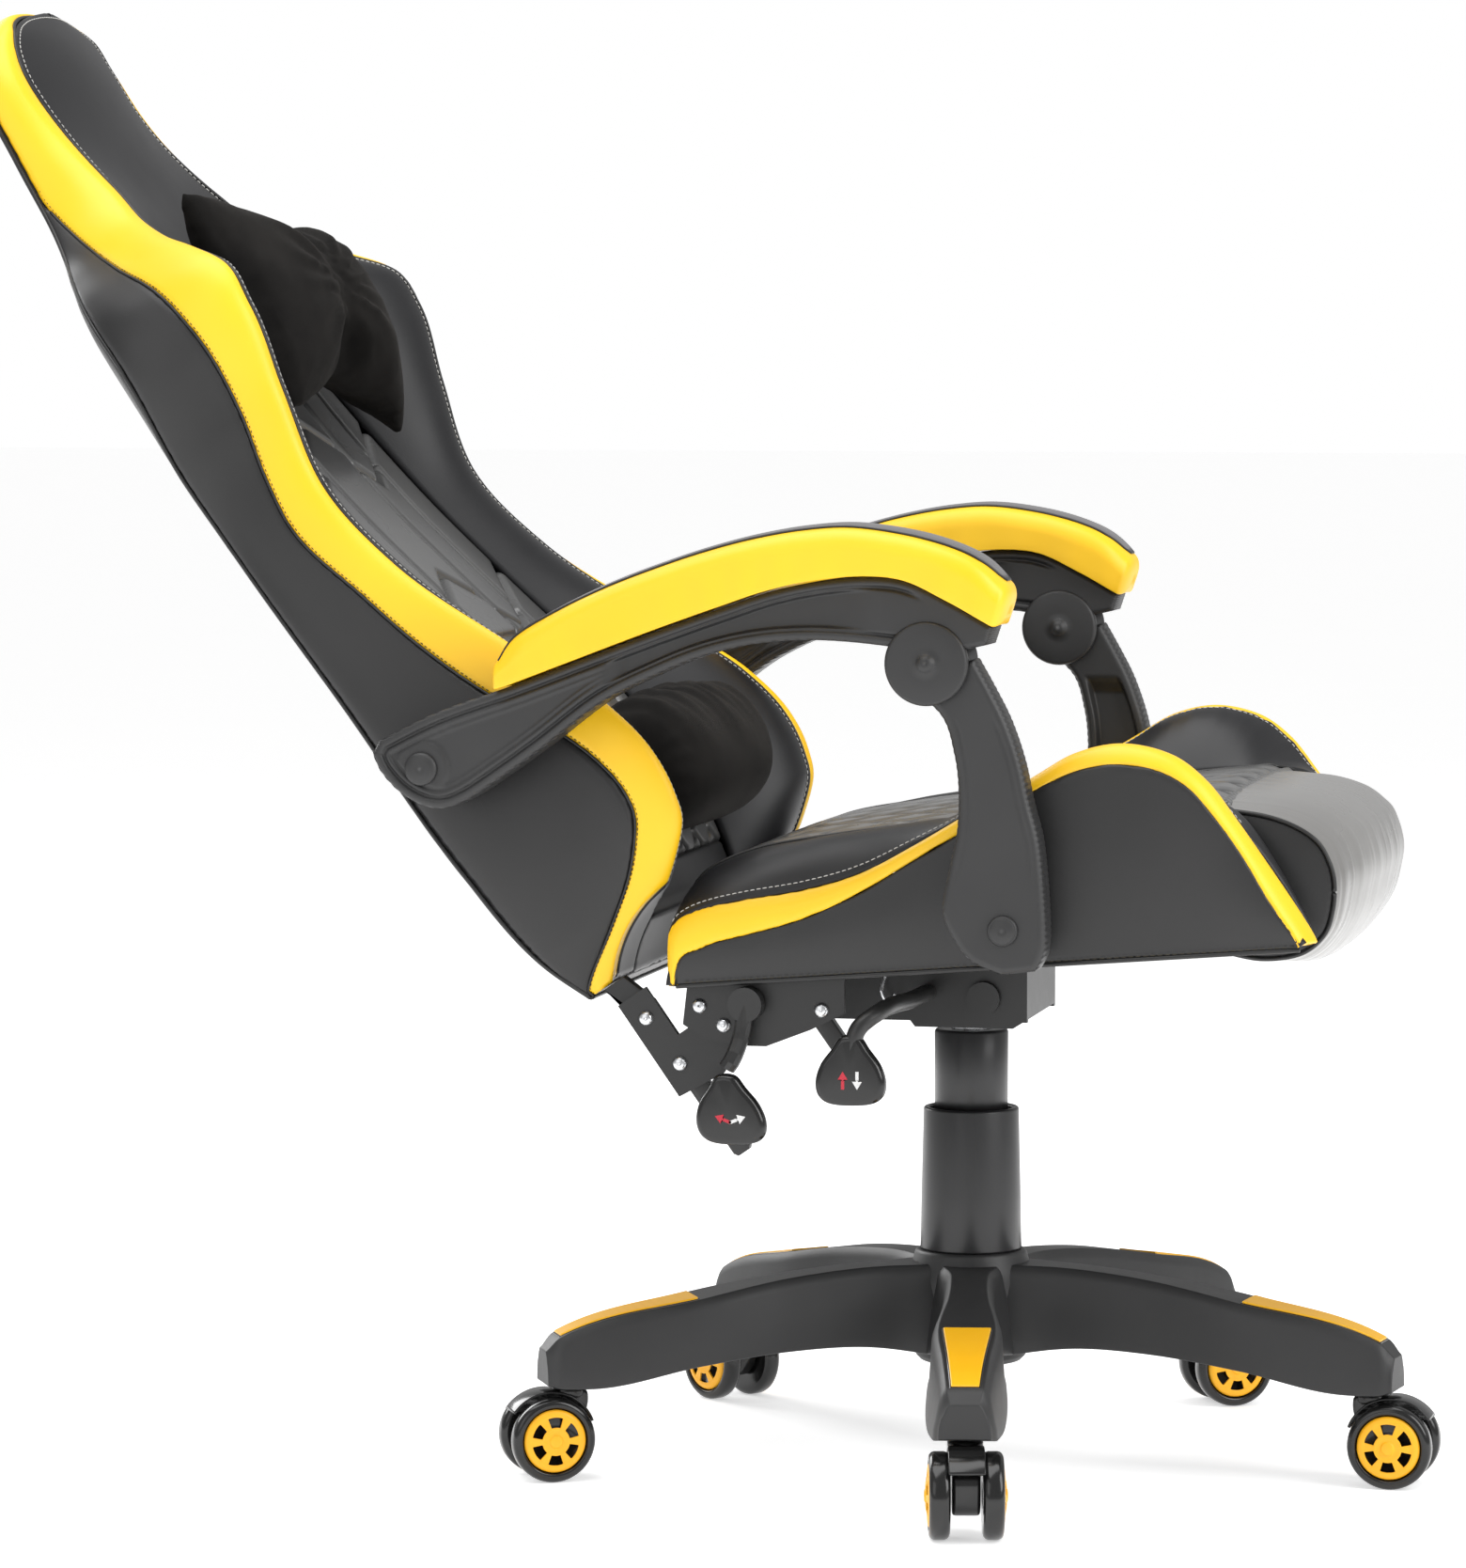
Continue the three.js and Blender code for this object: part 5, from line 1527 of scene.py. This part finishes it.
def build_caster(k, cap):
    """One caster: two cheeks under a hood, a collar and stem, and two wheels with rims."""
    swivel = np.array(JOINTS[f"caster_swivel_{k}"]["pos_m"])
    axle = np.array(JOINTS[f"roller_spin_{k}a"]["pos_m"])
    trail = unit((axle - swivel) * (1, 1, 0))
    across = np.cross((0, 0, 1), trail)
    stem = (swivel * (1, 1, 0) - COLUMN) / MM

    def in_caster(vertices):
        v = np.asarray(vertices, float)
        return v[:, :1] * trail + v[:, 1:2] * across + v[:, 2:] * np.array((0, 0, 1)) + stem

    def on_axle(side):
        def place(vertices):
            v = np.asarray(vertices, float)
            wheel = np.stack(
                [AXLE_TRAIL + v[:, 0], side * (WHEEL_GAP + v[:, 2]), WHEEL_RADIUS + v[:, 1]], 1
            )
            return in_caster(wheel)
        return place

    for letter, side in (("a", 1), ("b", -1)):
        place = on_axle(side)
        tyre, body = turned(TYRE, place, 96), f"roller_{k}{letter}"
        add_part(f"caster_tyre_{k}{letter}", tyre, GLOSS_NYLON, body, (f"wheel_{k}{letter}",))
        rim = outward(place(cap[0]), cap[1])
        rim = add_part(f"caster_rim_{k}{letter}", rim, AMBER_NYLON, body)
        soften(rim, 0.35, 2, 40)
    cheek = plate(closed_outline(CHEEK, 88), -9.6, 9.6, 2.4, lambda v: in_caster(side_on(v)))
    arc = np.linspace(math.radians(35), math.radians(160), 40)
    inner, outer = (
        np.stack([AXLE_TRAIL + radius * np.cos(arc), WHEEL_RADIUS + radius * np.sin(arc)], 1)
        for radius in (HOOD_INNER, HOOD_OUTER)
    )
    hood = plate(np.concatenate([inner, outer[::-1]]), -12.5, 12.5, 0.8, lambda v: in_caster(side_on(v)), 4)
    collar = turned(COLLAR, in_caster, 48)
    made = several([cheek, hood, collar])
    add_part(f"caster_frame_{k}", made, GLOSS_NYLON, f"caster_{k}", (f"caster_housing_{k}",))


def build_casters():
    cap = rim_cap()
    for k in range(1, 6):
        build_caster(k, cap)


# ---- armrest mouldings ----

BEAM_TOP = [
    (-361, 534), (-320, 554), (-264, 574), (-209, 595), (-164, 612), (-119, 628), (-86, 639), (-53, 646),
    (-20, 649), (8, 646), (38, 632), (66, 616),
]
BEAM_FOOT = [
    (-366, 525), (-359, 511), (-343, 496), (-322, 488), (-302, 493), (-274, 511), (-246, 531), (-205, 562),
    (-165, 582), (-132, 595), (-98, 603), (-64, 606), (-31, 605), (10, 601), (40, 600), (62, 604),
]
SUPPORT_FRONT = [
    (52, 594), (65, 571), (75, 551), (84, 525), (90, 498), (97, 470), (101, 427), (101, 398), (95, 384)
]
SUPPORT_REAR = [
    (4, 578), (30, 556), (39, 530), (42, 505), (41, 478), (36, 454), (31, 425), (38, 406), (51, 390),
    (72, 381)
]
DISC_PIVOT, REAR_PIVOT, SEAT_PIVOT = (21, 591), (-331, 515), (73, 411)


def moulding(first, last, half, recess, inside, edge=4.0, columns=56, rows=260):
    """A moulded arm between two edge lines, with a recess pressed into each face."""
    a, b = outline_of(first, rows), outline_of(last, rows)
    shares = crowded(columns, 0.75)
    flat = a[:, None] * (1 - shares[:, None]) + b[:, None] * shares[:, None]
    grid = np.stack([flat[..., 0], np.zeros(flat.shape[:2]), flat[..., 1]], 2)
    distance = from_edges(grid, ("first", "last", "near", "far"))
    share = np.clip(distance / edge, 0, 1)
    rounded = edge * (1 - np.sqrt(1 - (1 - share) ** 2))
    outer, inner = grid.copy(), grid.copy()
    outer[..., 1] = half - rounded - recess(flat[..., 0], flat[..., 1], distance)
    inner[..., 1] = rounded + inside(flat[..., 0], flat[..., 1], distance) - half
    vertices = np.concatenate([outer.reshape(-1, 3), inner.reshape(-1, 3)])
    skin = quads(rows, columns)
    faces = skin + [tuple(n + rows * columns for n in face[::-1]) for face in skin]
    rim = [r * columns for r in range(rows)] + [(rows - 1) * columns + c for c in range(1, columns)]
    rim += [r * columns + columns - 1 for r in range(rows - 2, -1, -1)] + list(range(columns - 2, 0, -1))
    faces += [(m, m + rows * columns, n + rows * columns, n) for m, n in zip(rim, rim[1:] + rim[:1])]
    return outward(vertices, faces)


def beam_recess(x, z, distance):
    """Double groove round the rear lobe and a sunk web under the pad."""
    lobe = 1 - ease(x, -225, -195)
    outer = 2.6 * groove(distance - 7.0, 1.3)
    inner = 2.0 * groove(distance - 12.5, 1.2) * lobe
    boss = ease(np.hypot(x - REAR_PIVOT[0], z - REAR_PIVOT[1]), 17, 21)
    sunk = 2.2 * ease(distance, 13, 16) * lobe * boss
    web = 7.0 * ease(distance, 7.5, 10) * ease(x, -206, -186) * (1 - ease(x, -50, -8))
    return outer * (1 - ease(x, 5, 20)) + inner + sunk + web


def support_recess(x, z, distance):
    """A shallow line inside the edge of the support."""
    return 0.7 * groove(distance - 7.0, 0.9) * ease(z, 440, 455) * (1 - ease(z, 545, 556))


def support_channel(x, z, distance):
    """The open channel in the inner face of the support."""
    return 9.0 * ease(distance, 6.5, 9) * ease(z, 436, 450) * (1 - ease(z, 540, 556))


def standing(centre, side, face):
    """Puts a turned part on a side face of the chair, at a place forward and up."""
    def place(v):
        return np.stack([centre[0] + v[:, 0], side * (face + v[:, 2]), centre[1] + v[:, 1]], 1)
    return place


def bolt_head(centre, side, face, radius, height):
    """A low domed head, standing out from a face."""
    profile = [
        (0, -1), (radius, -1), (radius, height * 0.3), (radius - 0.6, height * 0.55),
        (radius * 0.82, height * 0.8), (radius * 0.6, height), (radius * 0.35, height * 1.12),
        (0, height * 1.18),
    ]
    return turned(profile, standing(centre, side, face), 48)


def pivot_disc(centre, side, face, radius):
    """The round cap over an armrest's front joint, with a small bump in its middle."""
    profile = [
        (0, -4), (radius, -4), (radius, 0.6), (radius - 0.9, 2.2), (radius - 2.6, 2.8), (12, 3.4),
        (7.2, 3.4), (6.0, 4.6), (4.4, 6.4), (2.4, 7.3), (0, 7.6),
    ]
    return turned(profile, standing(centre, side, face), 96)


def build_arm_mouldings():
    for word, side in SIDES:
        shift = np.array((0, side * ARM_MIDDLE, 0))
        outer, inner = ARM_MIDDLE + 20, ARM_MIDDLE - 20
        beam = moulding(BEAM_TOP, BEAM_FOOT, 20, beam_recess, beam_recess)
        parts = [
            (beam[0] * (1, side, 1) + shift, beam[1]),
            pivot_disc(DISC_PIVOT, side, outer - 0.4, 28.5),
            pivot_disc(DISC_PIVOT, -side, -(inner + 0.4), 28.5),
        ]
        made = outward(*several(parts))
        add_part(
            f"arm_beam_{word}_moulding", made, NYLON, f"armrest_{word}",
            (f"arm_beam_{word}",)
        )
        support = moulding(SUPPORT_FRONT, SUPPORT_REAR, 15, support_recess, support_channel, 5.0, 44, 200)
        knuckle = [(0, -14), (16, -14), (18.2, -12), (18.2, 12), (16, 14), (0, 14)]
        head = turned(knuckle, standing(DISC_PIVOT, 1, 0), 64)
        made = several([(support[0] * (1, side, 1) + shift, support[1]), (head[0] + shift, head[1])])
        made = outward(*made)
        add_part(
            f"arm_support_{word}_moulding", made, NYLON, f"arm_link_{word}",
            (f"arm_support_{word}",)
        )
        cap = bolt_head(REAR_PIVOT, side, outer + 0.2, 11.5, 4.0)
        add_part(f"back_bolt_{word}_cap", cap, NYLON, "back")
        cap = bolt_head(SEAT_PIVOT, side, ARM_MIDDLE + 15.2, 10.5, 4.0)
        add_part(f"seat_bolt_{word}_cap", cap, NYLON, "seat")


# ---- levers ----

PADDLE_MIDDLE = 250
PADDLE = [
    (-6, 5), (6, 5), (13, -4), (21, -15), (24.5, -27), (22, -37), (12, -42), (-10, -42.5), (-21, -38),
    (-24.5, -28), (-21, -15), (-13, -4),
]


def paddle_outline(neck, lean):
    return closed_outline([(neck[0] + x - lean * z, neck[1] + z) for x, z in PADDLE], 80)


def arrow(centre, size, turn):
    """A plain arrow's outline."""
    shape = np.array(
        [(-0.18, -1), (0.18, -1), (0.18, 0.1), (0.55, 0.1), (0, 1), (-0.55, 0.1), (-0.18, 0.1)]
    ) * size
    c, s = math.cos(turn), math.sin(turn)
    return shape @ np.array(((c, s), (-s, c))) + centre


def build_levers():
    face = PADDLE_MIDDLE + 6
    for name, neck, lean, turns in (
        ("lift", (-39, 328), 0.0, (0, math.pi)), ("recline", (-126, 299), 0.12, (1.2, -1.2))
    ):
        body = name + "_control"
        paddle = plate(paddle_outline(neck, lean), -face, -PADDLE_MIDDLE + 6, 4.4, side_on, 7)
        add_part(f"{name}_paddle_grip", paddle, GLOSS_NYLON, body, (f"{name}_paddle",))
        middle = np.array((neck[0] + lean * 26, neck[1] - 25.0))
        marks = [
            (RED_PRINT, middle + (-4.5, 0), turns[0]),
            (WHITE_PRINT, middle + (5.5, 0), turns[1]),
        ]
        for n, (finish, centre, turn) in enumerate(marks):
            mark = plate(arrow(centre, 6.2, turn), -face - 0.25, -face + 0.3, 0.05, side_on, 2)
            add_part(f"{name}_paddle_arrow_{n + 1}", mark, finish, body, flat=True)
    lift = [
        (-20, -67, 345), (-17, -150, 348), (-17, -212, 351), (-23, -238, 348), (-34, -249, 338),
        (-39, -250, 322)
    ]
    path = smooth(lift, 60)
    rod = outward(*tube(path, 6, 20, up=np.tile((1.0, 0.0, 0.0), (61, 1))))
    add_part("lift_lever_rod", rod, STEEL, "lift_control", ("lift_lever",))


RED_PRINT = moulded("red print", (0.42, 0.012, 0.03), (0.5, 0.02, 0.04), 0.5, depth=0.01)
WHITE_PRINT = moulded("white print", (0.62, 0.62, 0.62), (0.7, 0.7, 0.7), 0.5, depth=0.01)

RECLINER_BOLTS = [
    ("seat", 228.2, (-150, 349)), ("seat", 228.2, (-133, 336)), ("seat", 228.2, (-64, 348)),
    ("back", 223.6, (-189, 339)), ("back", 223.6, (-165, 308)),
]


LEG_MIDDLE = 213.5


def build_legs():
    """Flat steel legs that come out under the back and carry its brackets."""
    leg = [(-72, -80), (-70, -83), (-61, -83), (-58, -80), (-58, 40), (-66, 65), (-84, 65), (-73, 36)]
    for word, side in SIDES:
        vertices, faces = plate(leg, -5.5, 5.5, 1.4, standing((0, 0), side, LEG_MIDDLE))
        part = new_piece(f"back_leg_{word}_bar", on_back(vertices), faces, STEEL, "back")
        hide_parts(f"back_leg_{word}")


def build_recliner_bolts():
    for word, side in SIDES:
        for body in ("seat", "back"):
            heads = [
                bolt_head(centre, side, face, 5.2, 3.2)
                for owner, face, centre in RECLINER_BOLTS if owner == body
            ]
            add_part(f"recliner_bolts_{body}_{word}", several(heads), ZINC, body)


# ---- finishes for the parts that keep their built shape ----

KEPT = {
    "gas_column": (STEEL, 0), "gas_piston": (ZINC, 0), "mechanism": (STEEL, 1.6),
    "spring_hook": (ZINC, 0), "seat_pan": (BOARD_CLOTH, 1.5), "seat_plate": (STEEL, 1.0),
    "sync_rod": (STEEL, 0),
    "seat_bolt": (NYLON, 0.5), "back_leg": (STEEL, 1.4), "back_bracket": (STEEL, 1.0),
    "back_bolt": (NYLON, 0.5),
    "recline_lever": (STEEL, 0.8), "head_cushion": (FACE_VINYL, 0),
}


def finish_kept_parts():
    for name, part in frame["nodes"].items():
        finish, width = next((value for stem, value in KEPT.items() if name.startswith(stem)), (NYLON, 0))
        for n in range(max(1, len(part.data.materials))):
            if n < len(part.data.materials):
                part.data.materials[n] = finish
            else:
                part.data.materials.append(finish)
        if width:
            bevel = part.modifiers.new("rounded edges", "BEVEL")
            bevel.width, bevel.segments = width * MM, 2
            bevel.limit_method, bevel.angle_limit = "ANGLE", math.radians(30)


build_base()
build_inserts()
build_column()
build_casters()
build_arm_mouldings()
build_levers()
build_legs()
build_recliner_bolts()
finish_kept_parts()
